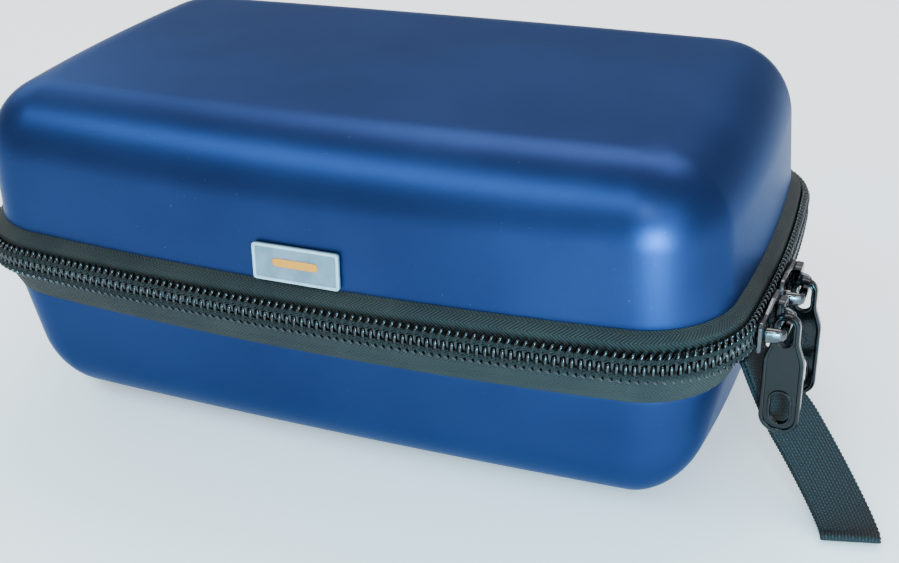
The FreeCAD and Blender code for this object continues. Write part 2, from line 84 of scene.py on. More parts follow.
class Half(Enum):
    """The two halves of the case, with the direction in which each one goes from the zip."""

    LID = 1.0
    BASE = -1.0

    @property
    def body(self) -> Body:
        """The body that this half of the case rides on."""
        return Body.LID if self is Half.LID else Body.BASE

    @property
    def word(self) -> str:
        """The half's name, as the frame's nodes begin with it."""
        return self.body.value

    @property
    def stagger(self) -> float:
        """How far this half's coil is shifted along the zip, in pitches, so that the rows mesh."""
        return 0.0 if self is Half.LID else 0.5


# ---------------------------------------------------------------------------- shader sums


class Wire:
    """A socket whose sums are written as Python expressions."""

    def __init__(self, recipe: "Recipe", socket: bpy.types.NodeSocket) -> None:
        """Wrap one output socket of a recipe's node tree."""
        self.recipe = recipe
        self.socket = socket

    def math(self, operation: str, *values: "Wire | Number") -> "Wire":
        """Add a Math node.

        Args:
            operation: the node's operation.
            values: its inputs, in order.

        Returns:
            The node's result.
        """
        return self.recipe.node("ShaderNodeMath", {"operation": operation}, dict(enumerate(values)))

    def __add__(self, other: "Wire | Number") -> "Wire":
        """self + other."""
        return self.math("ADD", self, other)

    __radd__ = __add__

    def __sub__(self, other: "Wire | Number") -> "Wire":
        """self - other."""
        return self.math("SUBTRACT", self, other)

    def __rsub__(self, other: "Wire | Number") -> "Wire":
        """other - self."""
        return self.math("SUBTRACT", other, self)

    def __mul__(self, other: "Wire | Number") -> "Wire":
        """self * other."""
        return self.math("MULTIPLY", self, other)

    __rmul__ = __mul__

    def __truediv__(self, other: "Wire | Number") -> "Wire":
        """self / other."""
        return self.math("DIVIDE", self, other)

    def sine(self) -> "Wire":
        """The sine of self, in radians."""
        return self.math("SINE", self)

    def size(self) -> "Wire":
        """The absolute value of self."""
        return self.math("ABSOLUTE", self)

    def part(self) -> "Wire":
        """The fractional part of self."""
        return self.math("FRACT", self)

    def above(self, limit: "Wire | Number") -> "Wire":
        """1 where self is above limit, and 0 elsewhere."""
        return self.math("GREATER_THAN", self, limit)

    def ramp(self, low: Number, high: Number) -> "Wire":
        """0 below low and 1 above high, easing smoothly between them."""
        return self.recipe.node("ShaderNodeMapRange", {"interpolation_type": "SMOOTHSTEP"},
                                {"Value": self, "From Min": low, "From Max": high})


class Recipe:
    """The node tree of one material, built around one Principled shader."""

    def __init__(self, name: str, metallic: float = 0.0, **constants: float | Sequence[float]) -> None:
        """Start a material.

        Args:
            name: the material's name.
            metallic: the shader's metallic value.
            constants: values of the shader's own sockets, with underscores for spaces.
        """
        self.material = bpy.data.materials.new(name)
        self.material.use_nodes = True
        self.nodes = self.material.node_tree.nodes
        self.links = self.material.node_tree.links
        self.shader = self.nodes["Principled BSDF"]
        self.shader.inputs["Metallic"].default_value = metallic
        for key, value in constants.items():
            self.shader.inputs[key.replace("_", " ")].default_value = value

    def node(self, kind: str, settings: dict, values: dict, output: int | str = 0) -> Wire:
        """Add a node.

        Args:
            kind: the node's type.
            settings: its settings, which are set first.
            values: the values or wires of its sockets, by name or number.
            output: the socket to return.

        Returns:
            The chosen output.
        """
        made = self.nodes.new(kind)
        for key, value in settings.items():
            setattr(made, key, value)
        for key, value in values.items():
            if isinstance(value, Wire):
                self.links.new(value.socket, made.inputs[key])
            else:
                made.inputs[key].default_value = value
        return Wire(self, made.outputs[output])

    def place(self) -> Wire:
        """The Object coordinates, in metres."""
        return self.node("ShaderNodeTexCoord", {}, {}, "Object")

    def weave(self) -> tuple[Wire, Wire]:
        """The piece's own coordinates in metres: along it and across it."""
        vector = self.node("ShaderNodeUVMap", {"uv_map": "weave"}, {})
        along, across = (self.node("ShaderNodeSeparateXYZ", {}, {0: vector}, axis) for axis in "XY")
        return along, across

    def stretched(self, vector: Wire, scale: Sequence[float]) -> Wire:
        """A vector multiplied part by part."""
        return self.node("ShaderNodeVectorMath", {"operation": "MULTIPLY"}, {0: vector, 1: tuple(scale)})

    def noise(self, vector: Wire, scale: float, detail: float = 2.0, rough: float = 0.5) -> Wire:
        """Noise from 0 to 1 at this many cells per metre."""
        return self.node("ShaderNodeTexNoise", {}, {"Vector": vector, "Scale": scale, "Detail": detail,
                                                    "Roughness": rough})

    def blend(self, factor: "Wire | Number", first: "Wire | Sequence[float]",
              second: "Wire | Sequence[float]") -> Wire:
        """Mix two colours: first where factor is 0, second where it is 1."""
        start, end = (value if isinstance(value, Wire) else (*value, 1.0) for value in (first, second))
        return self.node("ShaderNodeMix", {"data_type": "RGBA"}, {0: factor, 6: start, 7: end}, 2)

    def bump(self, height: Wire, distance: float, under: Wire | None = None) -> Wire:
        """A normal from a height.

        Args:
            height: the height, from 0 to 1.
            distance: how tall a height of 1 is, in metres.
            under: a normal to start from.

        Returns:
            The bumped normal.
        """
        values = {"Height": height, "Distance": distance}
        if under is not None:
            values["Normal"] = under
        return self.node("ShaderNodeBump", {}, values)

    def done(self, **wires: Wire) -> bpy.types.Material:
        """Link wires to the shader's sockets, and return the material."""
        for key, wire in wires.items():
            self.links.new(wire.socket, self.shader.inputs[key.replace("_", " ")])
        return self.material


# ---------------------------------------------------------------------------- finishes


@dataclass(frozen=True)
class SatinSkin:
    """Metallic blue coating with a very fine upright grain, a few stretch lines and dust."""

    deep: tuple[float, float, float] = (0.0095, 0.0225, 0.088)
    worn: tuple[float, float, float] = (0.0125, 0.0290, 0.106)
    roughness: float = 0.36

    def make(self, name: str) -> bpy.types.Material:
        """Build the material."""
        recipe = Recipe(name, 0.92, Coat_Weight=0.11, Coat_Roughness=0.5, Specular_IOR_Level=0.4,
                        Specular_Tint=(0.42, 0.50, 0.66, 1.0))
        place = recipe.place()
        grain = recipe.noise(recipe.stretched(place, (1.0, 1.0, 0.12)), 2600.0, 2.0, 0.6)
        cloud = recipe.noise(place, 22.0, 3.0)
        weave = recipe.noise(place, 5200.0, 1.0)
        dust = recipe.noise(place, 1100.0, 0.0).ramp(0.85, 0.89)
        colour = recipe.blend(cloud.ramp(0.3, 0.75), self.deep, self.worn)
        colour = recipe.blend(dust * 0.35, colour, (0.10, 0.16, 0.26))
        rough = self.roughness + (cloud - 0.5) * 0.08 + (grain - 0.5) * 0.10
        normal = recipe.bump(grain, 0.035 * MM)
        normal = recipe.bump(weave, 0.02 * MM, normal)
        return recipe.done(Base_Color=colour, Roughness=rough, Normal=normal)


@dataclass(frozen=True)
class HerringboneTape:
    """Charcoal zip tape: fine diagonal ribs that turn back in stripes along it, painted lighter on the ribs
    and darker between them as light and shade.
    """

    rib: float = 1.25 * MM
    stripe: float = 2.6 * MM
    dark: tuple[float, float, float] = (0.0012, 0.0012, 0.0012)
    light: tuple[float, float, float] = (0.022, 0.022, 0.019)

    def make(self, name: str) -> bpy.types.Material:
        """Build the material."""
        recipe = Recipe(name, Specular_IOR_Level=0.35)
        along, across = recipe.weave()
        zigzag = ((across / (2 * self.stripe)).part() - 0.5).size() * (2 * self.stripe)
        phase = (along + zigzag * 1.15) * (2 * math.pi / self.rib)
        rib = phase.sine() * 0.5 + 0.5
        yarn = ((along * 0.8 - zigzag) * (2 * math.pi / (0.42 * MM))).sine() * 0.5 + 0.5
        fuzz = recipe.noise(recipe.place(), 3200.0, 2.0, 0.7)
        cloud = recipe.noise(recipe.place(), 60.0, 2.0)
        height = rib * 0.8 + yarn * 0.2 + fuzz * 0.5
        # Painted light and shade: the colour follows the ribs and fuzz that also make the bump, lighter on
        # their tops and darker between them; the cloud adds random tone.
        shade = (rib * 0.75 + fuzz * 0.8 + cloud * 0.2 - 0.5).ramp(0.0, 1.0)
        colour = recipe.blend(shade, self.dark, self.light)
        colour = recipe.blend((cloud - 0.35).ramp(0.0, 0.5) * 0.35, colour, (0.034, 0.027, 0.016))
        normal = recipe.bump(height, 0.30 * MM)
        return recipe.done(Base_Color=colour, Roughness=0.62 + fuzz * 0.25, Normal=normal)


@dataclass(frozen=True)
class RibbedWebbing:
    """Black webbing: rows of small ribs, each row half a rib out of step with the next, painted lighter on
    the ribs and darker in the grooves as light and shade.
    """

    rib: float = 1.15 * MM
    row: float = 0.95 * MM
    dark: tuple[float, float, float] = (0.0012, 0.0012, 0.0014)
    light: tuple[float, float, float] = (0.012, 0.012, 0.013)

    def make(self, name: str) -> bpy.types.Material:
        """Build the material."""
        recipe = Recipe(name, Specular_IOR_Level=0.3)
        along, across = recipe.weave()
        column = across / self.row
        offset = (column * 0.5).part().above(0.5) * 0.5
        rib = ((along / self.rib + offset) * (2 * math.pi)).sine() * 0.5 + 0.5
        ridge = (column * math.pi).sine().size()
        fuzz = recipe.noise(recipe.place(), 2600.0, 2.0, 0.7)
        height = rib * 0.6 * ridge + ridge * 0.4 + fuzz * 0.25
        # Painted light and shade: the colour follows the height, lighter on the ribs and darker in the
        # grooves between them.
        colour = recipe.blend((height - 0.15).ramp(0.0, 0.9), self.dark, self.light)
        normal = recipe.bump(height, 0.28 * MM)
        return recipe.done(Base_Color=colour, Roughness=0.55 + fuzz * 0.25, Normal=normal)


@dataclass(frozen=True)
class BrushedTricot:
    """Soft knitted lining with a faint nap."""

    dark: tuple[float, float, float] = (0.012, 0.012, 0.014)
    light: tuple[float, float, float] = (0.035, 0.036, 0.040)

    def make(self, name: str) -> bpy.types.Material:
        """Build the material."""
        recipe = Recipe(name, Specular_IOR_Level=0.2, Sheen_Weight=0.5, Sheen_Roughness=0.6)
        place = recipe.place()
        nap = recipe.noise(place, 1400.0, 3.0, 0.7)
        patch = recipe.noise(place, 35.0, 2.0)
        colour = recipe.blend((nap * 0.7 + patch * 0.5 - 0.2).ramp(0.0, 1.0), self.dark, self.light)
        normal = recipe.bump(nap, 0.25 * MM)
        return recipe.done(Base_Color=colour, Roughness=0.8 + nap * 0.15, Normal=normal)


@dataclass(frozen=True)
class CellFoam:
    """Charcoal closed-cell foam, with fine pores painted darker as shade."""

    dark: tuple[float, float, float] = (0.010, 0.010, 0.011)
    light: tuple[float, float, float] = (0.045, 0.046, 0.050)

    def make(self, name: str) -> bpy.types.Material:
        """Build the material."""
        recipe = Recipe(name, Specular_IOR_Level=0.3)
        place = recipe.place()
        cells = recipe.node("ShaderNodeTexVoronoi", {"feature": "F1"}, {"Vector": place, "Scale": 1300.0})
        soft = recipe.noise(place, 90.0, 3.0)
        # Painted shade: the colour follows the cells that make the bump, darker in the pores.
        colour = recipe.blend(cells * 0.8 + soft * 0.3, self.dark, self.light)
        normal = recipe.bump(cells, 0.2 * MM)
        return recipe.done(Base_Color=colour, Roughness=0.82 + soft * 0.12, Normal=normal)


@dataclass(frozen=True)
class GlossNylon:
    """Hard glossy nylon or enamel, with faint scuffs."""

    colour: tuple[float, float, float] = (0.0015, 0.0015, 0.0018)
    roughness: float = 0.14
    metallic: float = 0.0
    coat: float = 0.15
    shine: float = 0.5

    def make(self, name: str) -> bpy.types.Material:
        """Build the material."""
        recipe = Recipe(name, self.metallic, Coat_Weight=self.coat, Coat_Roughness=0.1,
                        Specular_IOR_Level=self.shine)
        place = recipe.place()
        scuff = recipe.noise(place, 420.0, 3.0, 0.65)
        rub = (scuff - 0.5).ramp(0.02, 0.2)
        pale = tuple(channel * 2.0 + 0.002 for channel in self.colour)
        colour = recipe.blend(rub * 0.6, self.colour, pale)
        normal = recipe.bump(recipe.noise(place, 1500.0, 2.0), 0.015 * MM)
        return recipe.done(Base_Color=colour, Roughness=self.roughness + rub * 0.16, Normal=normal)


@dataclass(frozen=True)
class SoftVinyl:
    """Soft translucent vinyl, slightly cloudy."""

    colour: tuple[float, float, float] = (0.10, 0.13, 0.155)
    pale: tuple[float, float, float] = (0.18, 0.21, 0.24)
    roughness: float = 0.34

    def make(self, name: str) -> bpy.types.Material:
        """Build the material."""
        recipe = Recipe(name, Specular_IOR_Level=0.5, Coat_Weight=0.2, Coat_Roughness=0.25,
                        Subsurface_Weight=0.15)
        place = recipe.place()
        cloud = recipe.noise(place, 130.0, 3.0)
        fine = recipe.noise(place, 1800.0, 2.0)
        colour = recipe.blend(cloud.ramp(0.3, 0.7), self.colour, self.pale)
        normal = recipe.bump(fine, 0.03 * MM)
        return recipe.done(Base_Color=colour, Roughness=self.roughness + (cloud - 0.5) * 0.12, Normal=normal)


@dataclass(frozen=True)
class MattPrint:
    """Raised rubbery print of one colour."""

    colour: tuple[float, float, float] = (0.80, 0.24, 0.015)

    def make(self, name: str) -> bpy.types.Material:
        """Build the material."""
        recipe = Recipe(name, Specular_IOR_Level=0.4)
        fine = recipe.noise(recipe.place(), 1600.0, 2.0)
        shaded = tuple(channel * 0.75 for channel in self.colour)
        colour = recipe.blend(fine, self.colour, shaded)
        return recipe.done(Base_Color=colour, Roughness=0.45 + fine * 0.2,
                           Normal=recipe.bump(fine, 0.03 * MM))


class Finishes:
    """Every material of the case, made once."""

    def __init__(self) -> None:
        """Make the materials."""
        self.skin = SatinSkin().make("satin_blue_skin")
        self.tape = HerringboneTape().make("herringbone_tape")
        self.webbing = RibbedWebbing().make("ribbed_webbing")
        self.lining = BrushedTricot().make("brushed_lining")
        self.foam = CellFoam().make("cell_foam")
        self.coil = GlossNylon().make("nylon_coil")
        # The thread reuses the tape's recipe, with its painted light and shade on the ribs.
        self.thread = HerringboneTape(rib=0.6 * MM, stripe=5 * MM, dark=(0.003, 0.003, 0.003),
                                      light=(0.020, 0.020, 0.018)).make("sewing_thread")
        self.metal = GlossNylon(colour=(0.075, 0.075, 0.08), roughness=0.17, metallic=1.0,
                                coat=0.1).make("black_nickel")
        self.enamel = GlossNylon(colour=(0.001, 0.001, 0.0012), roughness=0.13, coat=0.0,
                                 shine=0.32).make("black_enamel")
        self.vinyl = SoftVinyl().make("tag_vinyl")
        self.vinyl_rim = SoftVinyl(colour=(0.34, 0.38, 0.42),
                                   pale=(0.48, 0.52, 0.56)).make("tag_vinyl_rim")
        self.print_orange = MattPrint().make("tag_print_orange")


# ---------------------------------------------------------------------------- meshes


@dataclass
class Patch:
    """A grid of points, with the coordinates of its weave in metres."""

    points: Array
    weave: Array
    wrap_rows: bool = False
    wrap_columns: bool = False
    turned: bool = False
    cap_rows: bool = False

    def quads(self) -> Array:
        """Corner numbers of the grid's faces, one row for each."""
        rows, columns = self.points.shape[:2]
        i = np.arange(rows if self.wrap_rows else rows - 1)[:, None]
        j = np.arange(columns if self.wrap_columns else columns - 1)[None, :]
        i_next = (i + 1) % rows
        j_next = (j + 1) % columns
        corners = [i * columns + j, i * columns + j_next, i_next * columns + j_next, i_next * columns + j]
        found = np.stack(corners, -1).reshape(-1, 4)
        return found[:, ::-1] if self.turned else found

    def corners_weave(self) -> Array:
        """Weave coordinates of every face's corners, in the order of quads."""
        w = self.weave
        found = np.stack([w[:-1, :-1], w[:-1, 1:], w[1:, 1:], w[1:, :-1]], 2).reshape(-1, 4, 2)
        return found[:, ::-1] if self.turned else found

    def caps(self) -> list[list[int]]:
        """The flat faces that close the first and last rows."""
        if not self.cap_rows:
            return []
        rows, columns = self.points.shape[:2]
        first = list(range(columns - 1, -1, -1))
        last = list(range((rows - 1) * columns, rows * columns))
        return [first[::-1], last[::-1]] if self.turned else [first, last]


def join(name: str, patches: Sequence[Patch], material: bpy.types.Material) -> bpy.types.Object:
    """Make one smooth-shaded object from grids.

    Args:
        name: the piece's name.
        patches: its grids.
        material: its material.

    Returns:
        The object, at the origin.
    """
    points, faces, corners = [], [], []
    start = 0
    for patch in patches:
        points.append(patch.points.reshape(-1, 3))
        faces += (patch.quads() + start).tolist()
        corners.append(patch.corners_weave().reshape(-1, 2))
        for cap in patch.caps():
            faces.append([number + start for number in cap])
            corners.append(np.zeros((len(cap), 2)))
        start += len(points[-1])
    mesh = bpy.data.meshes.new(name)
    mesh.from_pydata(np.concatenate(points).tolist(), [], faces)
    layer = mesh.uv_layers.new(name="weave")
    layer.data.foreach_set("uv", np.concatenate(corners).astype(np.float32).ravel())
    mesh.polygons.foreach_set("use_smooth", np.full(len(mesh.polygons), True))
    mesh.materials.append(material)
    mesh.update()
    piece = bpy.data.objects.new(name, mesh)
    bpy.context.scene.collection.objects.link(piece)
    return piece


def settle(piece: bpy.types.Object, body: Body, nodes: Iterable[str] = ()) -> bpy.types.Object:
    """Put a finished piece on its body, and hide the CAD nodes that it stands for."""
    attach(piece, body.value)
    names = list(nodes)
    if names:
        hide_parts(*names)
    LOG.info("%s: %d faces on %s", piece.name, len(piece.data.polygons), body.value)
    return piece


def unit(vectors: Array) -> Array:
    """Vectors made one long."""
    return vectors / np.maximum(np.linalg.norm(vectors, axis=-1, keepdims=True), 1e-12)


def lengths(points: Array) -> Array:
    """Distance walked along a row of points, from 0."""
    steps = np.linalg.norm(np.diff(points, axis=0), axis=1)
    return np.concatenate([[0.0], np.cumsum(steps)])


def tube(centre: Array, aside: Array, section: Array, closed: bool = False) -> Patch:
    """Carry a closed section along a path.

    Args:
        centre: the path's points.
        aside: for each point, a direction that isn't along the path.
        section: (aside, across) of the section's points, either one section or one for each point.
        closed: whether the path closes on itself.

    Returns:
        The tube's grid.  A point is centre + a * A + b * B, where A is aside squared up to the
        path and B is the path's direction crossed with A.
    """
    if closed:
        ahead = np.roll(centre, -1, 0) - np.roll(centre, 1, 0)
    else:
        ahead = np.gradient(centre, axis=0)
    ahead = unit(ahead)
    first = unit(aside - ahead * np.sum(ahead * aside, -1, keepdims=True))
    second = np.cross(ahead, first)
    sections = np.broadcast_to(section, (len(centre), *section.shape[-2:]))
    points = centre[:, None] + first[:, None] * sections[..., :1] + second[:, None] * sections[..., 1:]
    around = sections[0]
    across = lengths(np.vstack([around, around[:1]]))
    along = lengths(centre)
    if closed:
        along = np.append(along, along[-1] + np.linalg.norm(centre[0] - centre[-1]))
    weave = np.stack(np.meshgrid(along, across, indexing="ij"), -1)
    return Patch(points, weave, wrap_rows=closed, wrap_columns=True, cap_rows=not closed)


def circle(radius: float, sides: int) -> Array:
    """A round section."""
    angle = np.arange(sides) * (2 * math.pi / sides)
    return radius * np.stack([np.cos(angle), np.sin(angle)], -1)


def soft_box(width: float, depth: float, corner: float, steps: int = 3) -> Array:
    """A rectangle's section with round corners, anticlockwise."""
    corner = min(corner, width / 2 - 1e-6, depth / 2 - 1e-6)
    turn = np.linspace(0, math.pi / 2, steps + 1)
    quarters = []
    for number, (sx, sy) in enumerate(((1, 1), (-1, 1), (-1, -1), (1, -1))):
        angle = turn + number * math.pi / 2
        middle = np.array([sx * (width / 2 - corner), sy * (depth / 2 - corner)])
        quarters.append(middle + corner * np.stack([np.cos(angle), np.sin(angle)], -1))
    return np.concatenate(quarters)


def rounded(outline: Array, radii: Array, steps: int = 5) -> Array:
    """Round the corners of a closed outline with arcs that are tangent to both sides.

    Args:
        outline: the corners, in plan.
        radii: each corner's radius, 0 for a sharp one.
        steps: pieces in each arc.

    Returns:
        The rounded outline's points.
    """
    found = []
    for corner, before, after, radius in zip(outline, np.roll(outline, 1, 0), np.roll(outline, -1, 0), radii):
        if radius <= 0:
            found.append(corner[None])
            continue
        back = unit(before - corner)
        on = unit(after - corner)
        half = math.acos(float(np.clip(back @ on, -1, 1))) / 2
        start = corner + back * radius / math.tan(half)
        finish = corner + on * radius / math.tan(half)
        middle = corner + unit(back + on) * radius / math.sin(half)
        a, b = start - middle, finish - middle
        sweep = math.pi - 2 * half
        share = np.linspace(0, 1, steps + 1)[:, None]
        found.append(middle + (np.sin((1 - share) * sweep) * a + np.sin(share * sweep) * b) / math.sin(sweep))
    return np.concatenate(found)


FACING_OUT = Matrix(((0, 0, 1, 0), (1, 0, 0, 0), (0, 1, 0, 0), (0, 0, 0, 1)))
STANDING_ACROSS = Matrix(((1, 0, 0, 0), (0, 0, -1, 0), (0, 1, 0, 0), (0, 0, 0, 1)))


def panel(width: float, height: float, corner: float, middle: Sequence[float] = (0.0, 0.0)) -> Array:
    """A rectangle's outline about a middle point, with round corners."""
    corners = np.array([(-1, -1), (1, -1), (1, 1), (-1, 1)]) * np.array([width / 2, height / 2])
    return rounded(corners, np.full(4, corner)) + np.array(middle)


def plate(loops: Sequence[Array], thickness: float, bevel: float, frame: Matrix,
          name: str) -> bpy.types.Mesh:
    """A flat plate with round edges and holes.

    Args:
        loops: closed outlines in plan; one inside another is a hole.
        thickness: the plate's thickness, half on each side of the plan.
        bevel: radius of its edges.
        frame: where the plan's X, Y and Z go.
        name: the mesh's name.

    Returns:
        The mesh, in place.
    """
    curve = bpy.data.curves.new(name, "CURVE")
    curve.dimensions = "2D"
    curve.fill_mode = "BOTH"
    curve.extrude = thickness / 2 - bevel
    curve.bevel_depth = bevel
    curve.bevel_resolution = 2
    curve.offset = -bevel
    for loop in loops:
        spline = curve.splines.new("POLY")
        spline.points.add(len(loop) - 1)
        flat = np.column_stack([loop, np.zeros(len(loop)), np.ones(len(loop))])
        spline.points.foreach_set("co", flat.ravel())
        spline.use_cyclic_u = True
    holder = bpy.data.objects.new(name, curve)
    bpy.context.scene.collection.objects.link(holder)
    graph = bpy.context.evaluated_depsgraph_get()
    mesh = bpy.data.meshes.new_from_object(holder.evaluated_get(graph))
    bpy.data.objects.remove(holder)
    mesh.transform(frame)
    return mesh


def solid(name: str, meshes: Sequence[bpy.types.Mesh], material: bpy.types.Material) -> bpy.types.Object:
    """One object from finished meshes, with its doubles merged and its normals outwards."""
    whole = bmesh.new()
    for mesh in meshes:
        whole.from_mesh(mesh)
        bpy.data.meshes.remove(mesh)
    bmesh.ops.remove_doubles(whole, verts=whole.verts, dist=1e-6)
    bmesh.ops.recalc_face_normals(whole, faces=whole.faces)
    for face in whole.faces:
        face.smooth = False
    mesh = bpy.data.meshes.new(name)
    whole.to_mesh(mesh)
    whole.free()
    mesh.materials.clear()
    mesh.materials.append(material)
    piece = bpy.data.objects.new(name, mesh)
    bpy.context.scene.collection.objects.link(piece)
    return piece


# ---------------------------------------------------------------------------- the outline


@dataclass(frozen=True)
class Outline:
    """The zip line from above, and every ring that is an offset of it."""

    half_length: float = 133.5 * MM
    half_width: float = 80.4 * MM
    corner: float = 34.1 * MM
    long_side: float = 1040 * MM
    short_side: float = 521 * MM
    least_corner: float = 9 * MM
    zip_height: float = 62.5 * MM

    def arcs(self, inset: Array, bow: Array) -> Array:
        """The eight arcs of each ring, anticlockwise from the right side.

        Args:
            inset: how far each ring lies inside the zip line.
            bow: the share of the long sides' bow that each ring keeps.

        Returns:
            Rings x 8 x (centre x, centre y, radius, first angle, last angle).
        """
        inset, bow = np.broadcast_arrays(np.atleast_1d(inset), bow)
        half_l = self.half_length - inset
        half_w = self.half_width - inset
        corner = np.maximum(self.corner - inset, self.least_corner)
        long_r = self.long_side / bow - inset
        short_r = self.short_side - inset
        long_c = long_r - half_w
        short_c = short_r - half_l
        apart = np.hypot(long_c, short_c)
        near = short_r - corner
        along = (near ** 2 - (long_r - corner) ** 2 + apart ** 2) / (2 * apart)
        aside = np.sqrt(near ** 2 - along ** 2)
        cx = -short_c + (along * short_c + aside * long_c) / apart
        cy = (-along * long_c + aside * short_c) / apart
        side = np.arctan2(cy, cx + short_c)
        front = np.arctan2(cx, cy + long_c)
        nil = np.zeros_like(cx)
        turn = math.pi / 2
        rows = [(-short_c, nil, short_r, -side, side),
                (cx, cy, corner, side, turn - front),
                (nil, -long_c, long_r, turn - front, turn + front),
                (-cx, cy, corner, turn + front, 2 * turn - side),
                (short_c, nil, short_r, 2 * turn - side, 2 * turn + side),
                (-cx, -cy, corner, 2 * turn + side, 3 * turn - front),
                (nil, long_c, long_r, 3 * turn - front, 3 * turn + front),
                (cx, -cy, corner, 3 * turn + front, 4 * turn - side)]
        return np.array(rows).transpose(2, 0, 1)

    def rings(self, inset: Array, height: Array, bow: Array,
              steps: tuple[int, int, int] = (36, 26, 56)) -> Array:
        """Rings of points at these insets and heights above the zip line.

        Args:
            inset: each ring's inset.
            height: each ring's height above the zip line.
            bow: each ring's share of the long sides' bow.
            steps: pieces in a short side, a corner and a long side.

        Returns:
            Rings x columns x 3, each column starting at the same share of the same arc.
        """
        arcs = self.arcs(inset, bow)
        counts = [steps[0], steps[1], steps[2], steps[1]] * 2
        which = np.repeat(np.arange(8), counts)
        share = np.concatenate([np.arange(count) / count for count in counts])
        cx, cy, radius, first, last = np.moveaxis(arcs[:, which], -1, 0)
        angle = first + (last - first) * share
        z = np.broadcast_to(self.zip_height + np.asarray(height)[:, None], angle.shape)
        return np.stack([cx + radius * np.cos(angle), cy + radius * np.sin(angle), z], -1)


OUTLINE = Outline()


@dataclass(frozen=True)
class ZipLine:
    """A way along the zip line, measured in metres from its start."""

    start_x: float
    whole_back: bool = False

    def route(self) -> Array:
        """The arcs in order, each (centre x, centre y, radius, first angle, last angle)."""
        right, corner_br, back, corner_bl, left, corner_fl, front, corner_fr = OUTLINE.arcs(0.0, 1.0)[0]
        turn = math.asin(self.start_x / back[2])
        if self.whole_back:
            return np.array([(*back[:3], math.pi / 2 + turn, math.pi / 2 - turn)])
        order = [(*back[:3], math.pi / 2 - turn, back[3])]
        for cx, cy, radius, first, last in (corner_br, right, corner_fr, front, corner_fl, left, corner_bl):
            order.append((cx, cy, radius, last, first))
        order.append((*back[:3], back[4], math.pi / 2 + turn))
        return np.array(order)

    def length(self) -> float:
        """The whole way's length."""
        route = self.route()
        return float(np.sum(np.abs(route[:, 4] - route[:, 3]) * route[:, 2]))

    def place(self, distance: Array, out: Array, up: Array) -> Array:
        """Points at these distances along, outwards of and above the zip line."""
        angle, arc = self.angle(distance)
        radius = arc[..., 2] + out
        x = arc[..., 0] + radius * np.cos(angle)
        y = arc[..., 1] + radius * np.sin(angle)
        z = OUTLINE.zip_height + up + 0 * x
        return np.stack([x, y, z], -1)

    def angle(self, distance: Array) -> tuple[Array, Array]:
        """The outward direction's angle at each distance, and the arc that it lies on."""
        route = self.route()
        sizes = np.abs(route[:, 4] - route[:, 3]) * route[:, 2]
        ends = np.cumsum(sizes)
        which = np.clip(np.searchsorted(ends, distance, side="right"), 0, len(route) - 1)
        inside = distance - (ends - sizes)[which]
        arc = route[which]
        turned = np.sign(arc[..., 4] - arc[..., 3]) * inside / arc[..., 2]
        return arc[..., 3] + turned, arc

    def outward(self, distance: Array) -> Array:
        """The outward direction at each distance."""
        angle, _ = self.angle(distance)
        return np.stack([np.cos(angle), np.sin(angle), 0 * angle], -1)


ZIP = ZipLine(66.5 * MM)


def band(path: ZipLine, section: Array, step: float) -> Patch:
    """Carry a closed (u, h) section along the zip line.

    Args:
        path: the way along.
        section: (u, h) of the section's points, anticlockwise when u is right and h is up.
        step: distance between rows.

    Returns:
        The band's grid, a row for each step along.
    """
    along = np.linspace(0.0, path.length(), int(path.length() / step) + 1)
    u = section[None, :, 0]
    h = section[None, :, 1]
    points = path.place(along[:, None] + 0 * u, u + 0 * along[:, None], h)
    around = lengths(np.vstack([section, section[:1]]))
    weave = np.stack(np.meshgrid(along, around, indexing="ij"), -1)
    return Patch(points, weave, wrap_columns=True, cap_rows=True)


def finer(section: Array, step: float) -> Array:
    """A closed section with points no further apart than step."""
    ring = np.vstack([section, section[:1]])
    found = []
    for a, b in zip(ring[:-1], ring[1:]):
        count = max(1, int(math.ceil(float(np.linalg.norm(b - a)) / step)))
        found.append(a + (b - a) * (np.arange(count) / count)[:, None])
    return np.concatenate(found)


# ---------------------------------------------------------------------------- shells


